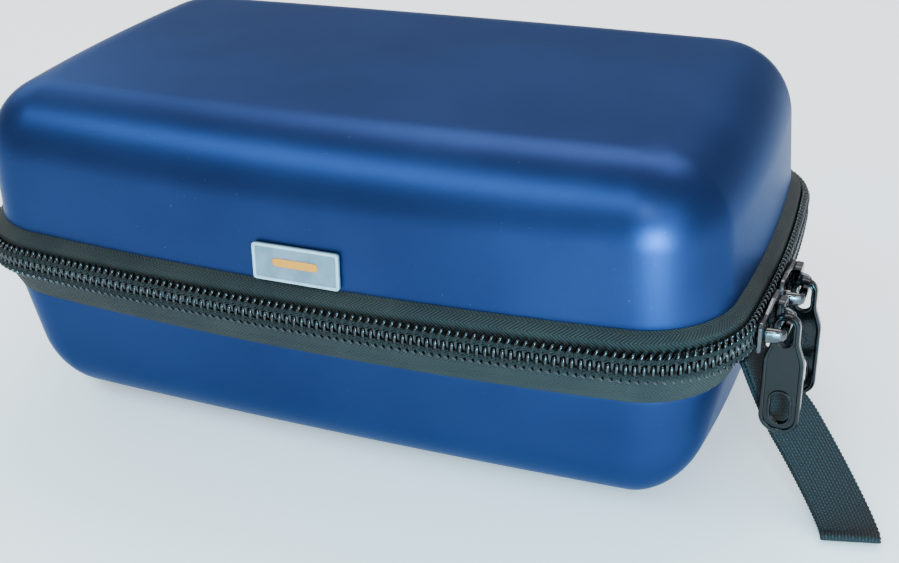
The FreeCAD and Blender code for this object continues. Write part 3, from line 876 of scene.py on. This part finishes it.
@dataclass(frozen=True)
class Dome:
    """One half of the case: a drafted wall that rounds over into a flat."""

    half: Half
    rim_inset: float
    rim_height: float
    reach: float
    draft: float
    fillet: float
    last_bow: float
    wall: float = 3.0 * MM

    def profile(self, deeper: float, start: float, wall_steps: int, fillet_steps: int) -> Array:
        """(inset, height, bow) from the wall's foot to the edge of the flat.

        Args:
            deeper: how far inside the skin the profile lies.
            start: height above the zip line at which it begins.
            wall_steps: pieces in the straight wall.
            fillet_steps: pieces in the rounding, which turns from the wall's lean to flat.

        Returns:
            One row for each ring.
        """
        lean = math.atan(self.draft)
        rim = self.rim_inset + self.draft * (start - self.rim_height) + deeper / math.cos(lean)
        top = self.reach - deeper
        fillet = self.fillet - deeper
        centre_h = top - fillet
        bend_h = centre_h + fillet * math.sin(lean)
        centre_t = rim + self.draft * (bend_h - start) + fillet * math.cos(lean)
        wall_h = np.linspace(start, bend_h, wall_steps + 1)[:-1]
        turn = np.linspace(lean, math.pi / 2, fillet_steps + 1)
        inset = np.concatenate([rim + self.draft * (wall_h - start), centre_t - fillet * np.cos(turn)])
        height = np.concatenate([wall_h, centre_h + fillet * np.sin(turn)])
        share = (height - self.rim_height) / (self.reach - self.rim_height)
        return np.stack([inset, height, 1 + (self.last_bow - 1) * share], -1)

    def flat(self, edge: Array, steps: int = 7) -> Array:
        """Rings that carry the flat inwards from its edge, nearly to the middle."""
        inset = np.linspace(edge[0], OUTLINE.half_width - 11 * MM, steps + 1)[1:]
        return np.stack([inset, np.full(steps, edge[1]), np.full(steps, edge[2])], -1)

    def grid(self, rows: Array) -> Patch:
        """The grid through (inset, height, bow) rows, with its weave in metres."""
        points = OUTLINE.rings(rows[:, 0], self.half.value * rows[:, 1], rows[:, 2])
        down = lengths(rows[:, :2])
        ring = np.vstack([points[0], points[0][:1]])
        weave = np.stack(np.meshgrid(down, lengths(ring), indexing="ij"), -1)[..., ::-1]
        return Patch(points, weave, wrap_columns=True, cap_rows=True, turned=self.half is Half.LID)

    def shell(self, outer: float, inner: float, start: float, rim: Array) -> Patch:
        """A closed shell between two depths below the skin.

        Args:
            outer: depth of its outer face.
            inner: depth of its inner face.
            start: height at which both faces begin.
            rim: (inset, height) rows between the outer face's foot and the inner face's foot.

        Returns:
            The shell's grid, from the middle of the outer flat to the middle of the inner one.
        """
        face = self.profile(outer, start, 14, 30)
        back = self.profile(inner, start, 5, 12)
        rim = np.column_stack([rim, np.ones(len(rim))])
        rows = np.concatenate([np.concatenate([face, self.flat(face[-1])])[::-1], rim,
                               np.concatenate([back, self.flat(back[-1])])])
        return self.grid(rows)


@dataclass
class Shells:
    """Skins, linings and rim bindings of both halves."""

    finishes: Finishes
    lid: Dome = Dome(Half.LID, rim_inset=6.0 * MM, rim_height=9.3 * MM, reach=54.2 * MM, draft=0.076,
                     fillet=24.2 * MM, last_bow=0.35)
    base: Dome = Dome(Half.BASE, rim_inset=7.3 * MM, rim_height=15.1 * MM, reach=62.5 * MM, draft=0.207,
                      fillet=32.0 * MM, last_bow=0.3)
    lip_inset: float = 4.4 * MM
    lip_height: float = 7.1 * MM
    lip_thickness: float = 2.6 * MM
    binding_width: float = 5.0 * MM
    lining_gap: float = 0.3 * MM
    lining: float = 1.0 * MM
    outer_rows: int = 57

    def skin(self, dome: Dome) -> bpy.types.Object:
        """The moulded shell: skin, rolled edge, lip under the tape, and inner face."""
        edge = dome.rim_height
        t = dome.rim_inset
        roll = np.linspace(0, math.pi / 2, 5)
        under = 0.9 * MM
        rim = np.column_stack([t + under * (1 - np.cos(roll)), edge - under * np.sin(roll)])
        lip = [(t + 1.1 * MM, edge - 1.0 * MM), (self.lip_inset + 0.9 * MM, self.lip_height + 0.7 * MM),
               (self.lip_inset + 0.6 * MM, self.lip_height),
               (self.lip_inset + self.lip_thickness, self.lip_height),
               (t + dome.wall + 0.2 * MM, edge - 0.8 * MM)]
        patch = dome.shell(0.0, dome.wall, edge, np.vstack([rim[1:], lip]))
        piece = join(f"{dome.half.word}_skin", [patch], self.finishes.skin)
        rows, columns = patch.points.shape[:2]
        inside = np.arange(len(piece.data.polygons)) // columns >= self.outer_rows
        inside[(rows - 1) * columns] = False
        piece.data.materials.append(self.finishes.lining)
        piece.data.polygons.foreach_set("material_index", inside.astype(np.int32))
        return settle(piece, dome.half.body, [f"{dome.half.word}_shell"])

    def inner(self, dome: Dome) -> bpy.types.Object:
        """The lining, a thin shell that follows the inner wall."""
        start = dome.rim_height + self.binding_width
        outer = dome.wall + self.lining_gap
        lean = math.cos(math.atan(dome.draft))
        foot = dome.rim_inset + dome.draft * (start - dome.rim_height)
        middle = (outer + self.lining / 2) / lean
        rim = np.array([[foot + middle, start - 0.35 * MM]])
        patch = dome.shell(outer, outer + self.lining, start, rim)
        piece = join(f"{dome.half.word}_lining_cloth", [patch], self.finishes.lining)
        return settle(piece, dome.half.body, [f"{dome.half.word}_lining"])

    def binding(self, dome: Dome) -> bpy.types.Object:
        """Bias tape over the raw edge inside the rim, slightly crowned."""
        face = dome.rim_inset + dome.wall + self.lining_gap + 0.2 * MM
        rise = self.binding_width - self.lining_gap
        share = np.linspace(0, 1, 9)
        crown = 0.9 * MM + 0.35 * MM * np.sin(share * math.pi)
        front = np.column_stack([face + crown + dome.draft * rise * share, dome.rim_height + rise * share])
        back = np.array([[face + dome.draft * rise, dome.rim_height + rise], [face, dome.rim_height]])
        section = np.vstack([front, back])
        rows = np.column_stack([section, np.ones(len(section))])
        patch = dome.grid(rows)
        patch.wrap_rows = True
        patch.cap_rows = False
        around = lengths(np.vstack([section, section[:1]]))
        along = patch.weave[0, :, 0]
        patch.weave = np.stack(np.meshgrid(around, along, indexing="ij"), -1)[..., ::-1]
        patch.turned = not patch.turned
        piece = join(f"{dome.half.word}_binding_tape", [patch], self.finishes.tape)
        return settle(piece, dome.half.body, [f"{dome.half.word}_rim_binding"])

    def build(self) -> None:
        """Make every shell piece, and give the foam its material."""
        for dome in (self.lid, self.base):
            self.skin(dome)
            self.inner(dome)
            self.binding(dome)
        dress("foam_insert", self.finishes.foam)


def dress(node: str, material: bpy.types.Material) -> None:
    """Give a CAD node that is kept its material."""
    mesh = bpy.data.objects[node].data
    if not mesh.materials:
        mesh.materials.append(material)
    for number in range(len(mesh.materials)):
        mesh.materials[number] = material


# ---------------------------------------------------------------------------- zip


@dataclass
class ZipChain:
    """Tapes, coils and the threads that sew the coils to the tapes."""

    finishes: Finishes
    shells: Shells
    pitch: float = 2.5 * MM
    filament: float = 0.52 * MM
    face: float = 2.5 * MM
    tape: float = 0.9 * MM
    head: float = -0.85 * MM
    outer_turn: float = 4.65 * MM
    slant: float = 0.36
    coil_end_x: float = 71.6 * MM
    coil_out: float = -1.0 * MM
    coil_depth: float = 0.98 * MM
    first_turn: float = 0.3
    head_swell: float = 0.08
    head_spread: float = 0.9 * MM
    thread: float = 0.29 * MM
    thread_dip: float = 0.32 * MM
    thread_sway: float = 0.22 * MM
    thread_rows: tuple[tuple[float, float], ...] = ((1.95 * MM, 0.0), (2.5 * MM, 2.2), (3.05 * MM, 2.4))

    def tape_section(self, dome: Dome) -> Array:
        """(u, h) of the tape: under the skin's rolled edge, down the lip, and behind the coil."""
        sign = dome.half.value
        t, edge = dome.rim_inset, dome.rim_height
        slope = (t + 0.6 * MM - self.shells.lip_inset) / (edge - self.shells.lip_height)
        tuck = 0.9 * MM if dome.half is Half.LID else 0.0
        top = -(t - 0.45 * MM + tuck)
        knee = edge - (-top - self.face) / slope + tuck
        outer = [(top, edge - 0.1 * MM), (-self.face - 0.25 * MM, knee + 0.35 * MM),
                 (-self.face, knee - 0.3 * MM), (-self.face, 0.25 * MM)]
        inner = [(-self.face - self.tape, 0.25 * MM), (-self.face - self.tape, knee - 0.4 * MM),
                 (top - self.tape * 1.2, edge - 0.1 * MM)]
        section = np.array(outer + inner)
        section[:, 1] *= sign
        return section if dome.half is Half.BASE else section[::-1]

    def make_tape(self, dome: Dome) -> bpy.types.Object:
        """The woven tape along the whole zip."""
        section = finer(self.tape_section(dome), 0.9 * MM)
        patch = band(ZIP, section, 1.6 * MM)
        piece = join(f"{dome.half.word}_tape_cloth", [patch], self.finishes.tape)
        return settle(piece, dome.half.body, [f"{dome.half.word}_zipper_tape"])

    def make_coil(self, half: Half) -> bpy.types.Object:
        """A long coil of filament: straight legs in front, heads that reach past the zip line."""
        path = ZipLine(self.coil_end_x)
        turns = int(path.length() / self.pitch) - 1
        per_turn = 18
        count = np.arange(turns * per_turn + 1)
        angle = 2 * math.pi * count / per_turn
        cosine, sine = np.cos(angle), np.sin(angle)
        middle = (self.head + self.outer_turn) / 2
        reach = (self.outer_turn - self.head) / 2
        up = middle - reach * np.sign(cosine) * np.abs(cosine) ** 0.85
        out = self.coil_out + self.coil_depth * np.sign(sine) * np.abs(sine) ** 0.55
        share = angle / (2 * math.pi)
        back = np.clip(((share % 1.0) - 0.5) * 2, 0, 1)
        front = np.clip(((share % 1.0) - 0.25) * 4, 0, 1)
        slant = self.slant * front * front * (3 - 2 * front)
        travel = np.floor(share) - slant * (1 - back) + (back * back * (3 - 2 * back))
        along = self.pitch * (travel + half.stagger + self.first_turn)
        centre = path.place(along, out, half.value * up)
        outward = path.outward(along)
        aside = np.cross(outward, np.array([0.0, 0.0, 1.0]))
        head = np.exp(-((up - self.head) / self.head_spread) ** 2)
        section = circle(self.filament, 7)[None] * (1 + self.head_swell * head[:, None, None])
        patch = tube(centre, aside, section)
        piece = join(f"{half.word}_coil_turns", [patch], self.finishes.coil)
        return settle(piece, half.body, [f"{half.word}_coil"])

    def make_threads(self, half: Half) -> bpy.types.Object:
        """Rows of sewing thread that dip between the coil's legs."""
        path = ZipLine(self.coil_end_x)
        per_turn = 8
        turns = int(path.length() / self.pitch) - 1
        along = self.pitch * np.arange(turns * per_turn + 1) / per_turn
        phase = 2 * math.pi * (along / self.pitch - half.stagger - self.first_turn)
        upright = np.array([0.0, 0.0, 1.0]) + np.zeros((len(along), 3))
        patches = []
        for height, shift in self.thread_rows:
            out = 0.20 * MM + self.thread_dip * np.cos(phase)
            sway = self.thread_sway * np.sin(phase + shift)
            centre = path.place(along, out, half.value * (height + sway))
            patches.append(tube(centre, upright, circle(self.thread, 6)))
        piece = join(f"{half.word}_coil_thread", patches, self.finishes.thread)
        return settle(piece, half.body)

    def build(self) -> None:
        """Make both halves of the chain."""
        for dome in (self.shells.lid, self.shells.base):
            self.make_tape(dome)
            self.make_coil(dome.half)
            self.make_threads(dome.half)
        for side in ("left", "right"):
            dress(f"{side}_end_stop", self.finishes.metal)


@dataclass
class FabricHinge:
    """The strip of fabric over the back, which bends as the lid opens; here it is one fixed shape."""

    finishes: Finishes
    chain: ZipChain
    half_width: float = 66.2 * MM
    bulge: float = 1.6 * MM

    def build(self) -> None:
        """Make the strip in one shape between the two halves."""
        lid = self.chain.shells.lid
        base = self.chain.shells.base
        thick = self.chain.tape
        high, low = lid.rim_height - 0.1 * MM, -base.rim_height
        rows = np.linspace(0, 1, 33)
        h = low + (high - low) * rows
        foot = -(base.rim_inset - 0.5 * MM)
        head = -(lid.rim_inset + 0.35 * MM)
        swell = np.abs(np.sin(rows * math.pi)) ** 0.55
        flank = foot + (head - foot) * rows
        out = flank + swell * (-self.bulge - flank)
        section = np.vstack([np.column_stack([out, h])[::-1], np.column_stack([out - thick, h])])
        path = ZipLine(self.half_width, whole_back=True)
        patch = band(path, section, 2.0 * MM)
        piece = join("hinge_cloth", [patch], self.finishes.tape)
        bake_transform(piece)
        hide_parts("hinge_band")
        LOG.info("%s: %d faces between base and lid", piece.name, len(piece.data.polygons))


# ---------------------------------------------------------------------------- sliders


@dataclass(frozen=True)
class SideFrame:
    """Axes on the right-hand side of the zip line: out, along and up."""

    y: float

    @property
    def matrix(self) -> Matrix:
        """Where out, along and up go."""
        arc = OUTLINE.arcs(0.0, 1.0)[0][0]
        angle = math.asin(self.y / arc[2])
        place = Matrix.Translation((arc[0] + arc[2] * math.cos(angle), arc[2] * math.sin(angle),
                                    OUTLINE.zip_height))
        return place @ Matrix.Rotation(angle, 4, "Z")

    def put(self, points: Array) -> Array:
        """Points given as (out, along, up), in place."""
        matrix = np.array(self.matrix)
        return points @ matrix[:3, :3].T + matrix[:3, 3]


@dataclass
class Slider:
    """A zip slider with its bridge and its hanging pull."""

    finishes: Finishes
    which: str
    y: float
    wide_end: int
    length: float = 22 * MM
    height: float = 13 * MM
    waist: float = 9.6 * MM
    clearance: float = 0.9 * MM
    thickness: float = 1.5 * MM
    pivot: float = 7 * MM
    bar: float = 1.3 * MM
    behind: float = 5.0 * MM
    inner_length: float = 16 * MM
    bridge_length: float = 17 * MM
    pull_width: float = 12 * MM
    pull_length: float = 36 * MM
    ring: float = 4.0 * MM
    shoulder: float = 7.4 * MM

    @property
    def frame(self) -> SideFrame:
        """The slider's axes."""
        return SideFrame(self.y)

    def body_outline(self) -> Array:
        """The outer plate seen from outside, as (along, up)."""
        half_l, half_h, waist = self.length / 2, self.height / 2, self.waist / 2
        corners = np.array([(-half_l, -waist), (-half_l + 7 * MM, -waist), (half_l - 8 * MM, -half_h),
                            (half_l, -half_h), (half_l, half_h), (half_l - 8 * MM, half_h),
                            (-half_l + 7 * MM, waist), (-half_l, waist)])
        radii = np.array([1.6, 5.0, 3.0, 3.0, 3.0, 3.0, 5.0, 1.6]) * MM
        loop = rounded(corners, radii)
        return loop * np.array([self.wide_end, 1])

    def make_body(self) -> bpy.types.Object:
        """The two plates and the wedge post between them."""
        place = self.frame.matrix
        outer = plate([self.body_outline()], self.thickness, 0.5 * MM,
                      place @ Matrix.Translation((self.clearance + self.thickness / 2, 0, 0)) @ FACING_OUT,
                      "outer_plate")
        inner_y = self.wide_end * (self.length / 2 - 1 * MM - self.inner_length / 2)
        inner_loop = panel(self.inner_length, 9.4 * MM, 1.5 * MM, (inner_y, 0.0))
        inner = plate([inner_loop], self.thickness, 0.4 * MM,
                      place @ Matrix.Translation((-self.behind - self.thickness / 2, 0, 0)) @ FACING_OUT,
                      "inner_plate")
        post_y = self.wide_end * (self.length / 2 - 3.5 * MM)
        wedge = rounded(np.array([(-2.5, 0), (2.5, -1.0), (2.5, 1.0)]) * MM, np.full(3, 0.3 * MM))
        wedge = wedge * np.array([self.wide_end, 1]) + np.array([post_y, 0])
        depth = self.clearance + self.behind + 0.4 * MM
        post = plate([wedge], depth, 0.2 * MM,
                     place @ Matrix.Translation((-2.05 * MM, 0, 0)) @ FACING_OUT, "wedge")
        piece = solid(f"{self.which}_slider_plates", [outer, inner, post], self.finishes.metal)
        return settle(piece, Body(f"{self.which}_slider"), [f"{self.which}_slider_body"])

    def make_bridge(self) -> bpy.types.Object:
        """A bar on two broad feet, its section easing from flat feet to a round bar."""
        face = self.clearance + self.thickness
        half = self.bridge_length / 2
        share = np.linspace(-1, 1, 61)
        lift = np.clip((1 - np.abs(share)) / 0.28, 0, 1)
        ease = np.sin(lift * math.pi / 2)
        out = face - 0.3 * MM + (self.pivot - face + 0.3 * MM) * ease
        along = half * np.sign(share) * (1 - (1 - np.abs(share)) ** 1.15) * 0.86
        centre = self.frame.put(np.column_stack([out, along, 0 * out]))
        foot = 1 - lift
        width = 2 * self.bar + (4.6 * MM - 2 * self.bar) * np.clip(foot + 0.35 * (lift < 1), 0, 1) ** 0.8
        smooth = np.convolve(np.pad(width, 3, mode="edge"), np.ones(7) / 7, mode="valid")
        depth = 2 * self.bar + 0.3 * MM * foot
        base = circle(1.0, 14)
        squared = np.sign(base) * np.abs(base) ** 0.75
        section = squared[None] * np.stack([smooth / 2, depth / 2], -1)[:, None]
        upward = np.array([0.0, 0.0, 1.0]) + np.zeros((len(centre), 3))
        patch = tube(centre, upward, section)
        piece = join(f"{self.which}_slider_arch", [patch], self.finishes.metal)
        return settle(piece, Body(f"{self.which}_slider"), [f"{self.which}_slider_bridge"])

    def make_crown(self) -> bpy.types.Object:
        """The stout block at the bridge's far foot."""
        rise = 2.6 * MM
        loop = panel(5.4 * MM, 8.6 * MM, 0.9 * MM, (self.bridge_length / 2 - 0.4 * MM, 0.0))
        face = self.clearance + self.thickness - 0.2 * MM
        block = plate([loop], rise, 0.6 * MM,
                      self.frame.matrix @ Matrix.Translation((face + rise / 2, 0, 0)) @ FACING_OUT,
                      "block")
        piece = solid(f"{self.which}_slider_crown", [block], self.finishes.metal)
        return settle(piece, Body(f"{self.which}_slider"))

    def pull_outline(self, shrink: float) -> Array:
        """The pull's edge as (out, up) about the bar, moved inwards by shrink."""
        ring = self.ring - shrink
        half = self.pull_width / 2 - shrink
        low = -self.pull_length + shrink
        turn = np.linspace(math.pi, 0, 17)
        crown = ring * np.stack([np.cos(turn), np.sin(turn)], -1)
        lower = np.array([(ring, -self.shoulder + 2 * MM), (half, -self.shoulder - 4 * MM), (half, low),
                          (-half, low), (-half, -self.shoulder - 4 * MM), (-ring, -self.shoulder + 2 * MM)])
        corners = np.vstack([crown[-1:], lower, crown[:1]])
        radii = np.array([0, 8.0, 8.0, 5.3, 5.3, 8.0, 8.0, 0]) * MM
        radii[3:5] -= shrink * 0.8
        return np.vstack([crown, rounded(corners, radii, 8)[1:-1]])

    @staticmethod
    def oblong(width: float, length: float, middle: float) -> Array:
        """An upright slot with round ends, centred at this height."""
        turn = np.linspace(0, math.pi, 13)
        radius, straight = width / 2, (length - width) / 2
        top = radius * np.stack([np.cos(turn), np.sin(turn)], -1) + (0, straight)
        return np.vstack([top, -top]) + (0, middle)

    def make_pull(self) -> bpy.types.Object:
        """The pull: a thin web, a raised round rim, and rims round its eye and its hole."""
        place = self.frame.matrix @ Matrix.Translation((self.pivot, 0, 0)) @ STANDING_ACROSS
        eye = self.oblong(4.2 * MM, 8.7 * MM, -2.25 * MM)
        slot_middle = -self.pull_length + 3.2 * MM + 5.25 * MM
        hole = self.oblong(5.6 * MM, 10.5 * MM, slot_middle)
        web = plate([self.pull_outline(0.5 * MM), eye, hole], 1.2 * MM, 0.15 * MM, place, "web")
        rim = plate([self.pull_outline(0), self.pull_outline(1.35 * MM)], 2.5 * MM, 0.6 * MM, place, "rim")
        eye_rim = plate([self.oblong(5.9 * MM, 10.4 * MM, -2.25 * MM), eye], 2.0 * MM, 0.4 * MM, place,
                        "eye_rim")
        hole_rim = plate([self.oblong(7.2 * MM, 12.1 * MM, slot_middle), hole], 2.1 * MM, 0.35 * MM, place,
                         "hole_rim")
        piece = solid(f"{self.which}_pull_casting", [web, rim, eye_rim, hole_rim], self.finishes.enamel)
        return settle(piece, Body(f"{self.which}_pull"), [f"{self.which}_pull_tab"])

    def build(self) -> None:
        """Make the slider's four pieces."""
        self.make_body()
        self.make_bridge()
        self.make_crown()
        self.make_pull()


# ---------------------------------------------------------------------------- strap and tag


@dataclass
class HandStrap:
    """A loop of webbing, sewn in under the tape, that hangs down and lies on its folded end."""

    finishes: Finishes
    width: float = 17 * MM
    cloth: float = 1.15 * MM
    y: float = -26.05 * MM
    out: float = -5.6 * MM
    depth: float = 16.9 * MM
    lean: float = 36.3
    aim: float = -10.0
    straight: float = 25.9 * MM
    curve: float = 1.45
    reach: tuple[float, float] = (37.05 * MM, -24.25 * MM)
    end_height: float = 2.4 * MM
    run_turn: float = 50.0
    end_turn: float = 67.0
    selvedge: float = 1.15 * MM
    steps: int = 250
    bell: float = 3.2 * MM

    def line(self, share: Array) -> tuple[Array, Array]:
        """The strap's middle line and its direction across, for shares of its length from 0 to 1.

        The first stretch is straight and level with the seam; the rest turns smoothly to the tip.
        """
        arc = OUTLINE.arcs(0.0, 1.0)[0][0]
        side = arc[0] + math.sqrt(arc[2] ** 2 - self.y ** 2)
        pivot = np.array([side + self.out, self.y, OUTLINE.zip_height - self.depth])
        lean, aim = math.radians(self.lean), math.radians(self.aim)
        down = np.array([math.sin(lean) * math.cos(aim), math.sin(lean) * math.sin(aim), -math.cos(lean)])
        tip = np.array([pivot[0] + self.reach[0], pivot[1] + self.reach[1], self.end_height])
        knee = 0.40
        run = np.minimum(share / knee, 1.0)
        first = pivot + down * self.straight * run[:, None]
        rest = np.clip((share - knee) / (1 - knee), 0, 1)
        drop = pivot[2] - self.straight * math.cos(lean) - tip[2]
        onward = first + down * (self.curve * drop / math.cos(lean)) * rest[:, None]
        smooth = (rest * rest * (3 - 2 * rest))[:, None]
        centre = onward + (tip - onward) * smooth
        turn = np.radians(self.run_turn * run + (self.end_turn - self.run_turn) * rest)
        return centre, np.stack([np.sin(turn), np.cos(turn), 0 * turn], -1)

    def ribbon(self) -> tuple[Array, Array, Array]:
        """The middle line in even steps, with the directions across it and ahead.

        Each point is a mean of its neighbours, weighted by a bell curve whose weight falls away
        within a millimetre of either end, so that both ends stay where they are.
        """
        share = np.linspace(0.0, 1.0, self.steps)
        centre, across = self.line(share)
        walked = lengths(centre)
        even = np.linspace(0, walked[-1], self.steps)
        centre = np.stack([np.interp(even, walked, column) for column in centre.T], -1)
        across = np.stack([np.interp(even, walked, column) for column in across.T], -1)
        near = np.exp(-((even[:, None] - even[None]) / self.bell) ** 2)
        from_end = np.minimum(even, even[-1] - even)[:, None]
        near *= np.minimum(1.0, from_end / (1.0 * MM)) + np.eye(self.steps)
        near /= near.sum(1, keepdims=True)
        centre, across = near @ centre, near @ across
        ahead = unit(np.gradient(centre, axis=0))
        across = unit(across - ahead * np.sum(across * ahead, -1, keepdims=True))
        return centre, across, ahead

    def build(self) -> None:
        """Make both layers and the fold between them as one piece of webbing.

        The path goes down one layer, half round the fold, and back up the other.  Its section is a
        rectangle with round corners, whose two narrow sides swing in and out in small teeth.
        """
        centre, across, ahead = self.ribbon()
        through = np.cross(ahead, across)
        gap = self.cloth / 2 + 0.12 * MM
        turn = np.linspace(0, math.pi, 14)[1:-1]
        fold = centre[-1] + gap * (np.outer(np.cos(turn), through[-1]) + np.outer(np.sin(turn), ahead[-1]))
        path = np.vstack([centre + through * gap, fold, (centre - through * gap)[::-1]])
        sideways = np.vstack([across, np.tile(across[-1], (len(fold), 1)), across[::-1]])
        along = lengths(path)
        tooth = 0.16 * MM * np.sin(2 * math.pi * along / self.selvedge)
        box = soft_box(self.width, self.cloth, 0.5 * MM)
        edge = np.clip(np.abs(box[:, 0]) / (self.width / 2), 0, 1) ** 8 * np.sign(box[:, 0])
        section = np.broadcast_to(box, (len(path), *box.shape)).copy()
        section[..., 0] += tooth[:, None] * edge[None]
        patch = tube(path, sideways, section)
        reach = np.append(box[:, 0], box[0, 0]) + self.width
        patch.weave = np.stack(np.meshgrid(along, reach, indexing="ij"), -1)
        piece = join("strap_webbing", [patch], self.finishes.webbing)
        settle(piece, Body.STRAP, ["hand_strap"])


@dataclass
class SeamTag:
    """A soft tag in the front seam, with a thin rim and one plain bar."""

    finishes: Finishes
    x: float = 1.6 * MM
    width: float = 28.6 * MM
    height: float = 11.6 * MM
    thickness: float = 1.1 * MM
    gap: float = 0.4 * MM

    def frame(self, dome: Dome) -> Matrix:
        """Where the tag's width, height and outward direction go."""
        arc = OUTLINE.arcs(dome.rim_inset, 1.0)[0][6]
        wall_y = arc[1] - arc[2] * math.cos(math.asin(self.x / arc[2]))
        place = Matrix.Translation((self.x, wall_y - self.gap,
                                    OUTLINE.zip_height + dome.rim_height + 0.3 * MM))
        lean = Matrix.Rotation(-math.atan(dome.draft), 4, "X")
        return place @ lean @ STANDING_ACROSS

    def build(self, dome: Dome) -> None:
        """Make the tag, its rim and its bar."""
        frame = self.frame(dome)
        middle = (0.0, self.height / 2)
        whole = panel(self.width, self.height, 1.0 * MM, middle)
        field = plate([whole], self.thickness, 0.3 * MM,
                      frame @ Matrix.Translation((0, 0, self.thickness / 2)), "tag_field")
        piece = solid("tag_sheet", [field], self.finishes.vinyl)
        settle(piece, Body.LID, ["side_tag"])
        inside = panel(self.width - 1.8 * MM, self.height - 1.8 * MM, 0.6 * MM, middle)
        rim = plate([whole, inside], 0.7 * MM, 0.25 * MM,
                    frame @ Matrix.Translation((0, 0, self.thickness)), "tag_rim")
        settle(solid("tag_edge", [rim], self.finishes.vinyl_rim), Body.LID)
        level = frame @ Matrix.Translation((0, 0, self.thickness + 0.1 * MM))
        bar = plate([panel(15 * MM, 2.6 * MM, 1.2 * MM, (0.0, self.height / 2 + 0.4 * MM))],
                    0.5 * MM, 0.15 * MM, level, "bar")
        mark = solid("tag_bar", [bar], self.finishes.print_orange)
        settle(mark, Body.LID, ["tag_mark"])


# ---------------------------------------------------------------------------- studio


@dataclass
class Studio:
    """Floor, lights and camera."""

    camera_place: tuple[float, float, float] = (0.1807, -0.3743, 0.2534)
    camera_right: tuple[float, float, float] = (0.9236, 0.3815, -0.0386)
    camera_ahead: tuple[float, float, float] = (-0.354, 0.8096, -0.4683)
    lens: float = 52.75
    shift: tuple[float, float] = (0.0030, 0.0016)

    def floor(self) -> None:
        """A plain pale floor."""
        mesh = bpy.data.meshes.new("floor")
        side = 4.0
        mesh.from_pydata([(-side, -side, 0), (side, -side, 0), (side, side, 0), (-side, side, 0)], [],
                         [(0, 1, 2, 3)])
        recipe = Recipe("pale_floor", Specular_IOR_Level=0.2, Roughness=0.7, Emission_Color=(1, 1, 1, 1),
                        Emission_Strength=0.35)
        tint = recipe.noise(recipe.place(), 2.0, 2.0)
        colour = recipe.blend(tint, (0.86, 0.86, 0.86), (0.90, 0.90, 0.90))
        mesh.materials.append(recipe.done(Base_Color=colour))
        floor = bpy.data.objects.new("floor", mesh)
        bpy.context.scene.collection.objects.link(floor)

    def lamp(self, name: str, place: Sequence[float], target: Sequence[float], size: tuple[float, float],
             power: float, colour: Sequence[float] = (1, 1, 1)) -> None:
        """A rectangular soft light that faces a target."""
        data = bpy.data.lights.new(name, "AREA")
        data.shape = "RECTANGLE"
        data.size, data.size_y = size
        data.energy = power
        data.color = colour
        lamp = bpy.data.objects.new(name, data)
        lamp.location = place
        lamp.rotation_euler = (Vector(target) - Vector(place)).to_track_quat("-Z", "Y").to_euler()
        bpy.context.scene.collection.objects.link(lamp)

    def lights(self) -> None:
        """A bright surround, bluish lights from the front and white ones overhead and behind."""
        world = bpy.data.worlds.new("surround")
        world.use_nodes = True
        back = world.node_tree.nodes["Background"]
        back.inputs["Color"].default_value = (0.93, 0.95, 1.0, 1)
        back.inputs["Strength"].default_value = 0.85
        bpy.context.scene.world = world
        middle = (0.0, 0.0, 0.06)
        self.lamp("key_right", (0.80, -0.62, 0.42), middle, (0.40, 0.7), 4.0, (0.50, 0.85, 1.0))
        self.lamp("low_card", (0.30, -0.40, 0.05), (0.11, -0.06, 0.075), (0.12, 0.16), 7.0,
                  (0.18, 0.72, 1.0))
        self.lamp("front_strip", (-0.26, -0.60, 0.82), (0.05, -0.06, 0.1), (1.1, 0.24), 10.0,
                  (0.40, 0.83, 1.0))
        self.lamp("spark", (0.42, -0.85, 0.72), middle, (0.10, 0.10), 3.0)
        self.lamp("overhead", (0.0, 0.55, 1.0), middle, (1.2, 0.6), 12.0)
        self.lamp("back_left", (-0.9, 0.5, 0.6), middle, (0.6, 0.6), 3.0)

    def camera(self) -> None:
        """The camera, turned by its own right and ahead directions."""
        data = bpy.data.cameras.new("camera")
        data.lens = self.lens
        data.sensor_width = 36.0
        data.shift_x, data.shift_y = self.shift
        data.clip_start = 0.01
        camera = bpy.data.objects.new("camera", data)
        back = -Vector(self.camera_ahead).normalized()
        right = Vector(self.camera_right)
        right = (right - back * right.dot(back)).normalized()
        camera.rotation_euler = Matrix((right, back.cross(right), back)).transposed().to_euler()
        camera.location = self.camera_place
        bpy.context.scene.collection.objects.link(camera)
        bpy.context.scene.camera = camera

    def build(self) -> None:
        """Make the studio."""
        self.floor()
        self.lights()
        self.camera()


def main() -> None:
    logging.basicConfig(level=logging.INFO, format="%(message)s")
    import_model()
    Studio().build()
    finishes = Finishes()
    shells = Shells(finishes)
    shells.build()
    chain = ZipChain(finishes, shells)
    chain.build()
    FabricHinge(finishes, chain).build()
    Slider(finishes, "front", -37.5 * MM, 1).build()
    Slider(finishes, "rear", -14.6 * MM, -1).build()
    HandStrap(finishes).build()
    SeamTag(finishes).build(shells.lid)


if __name__ == "__main__":
    main()
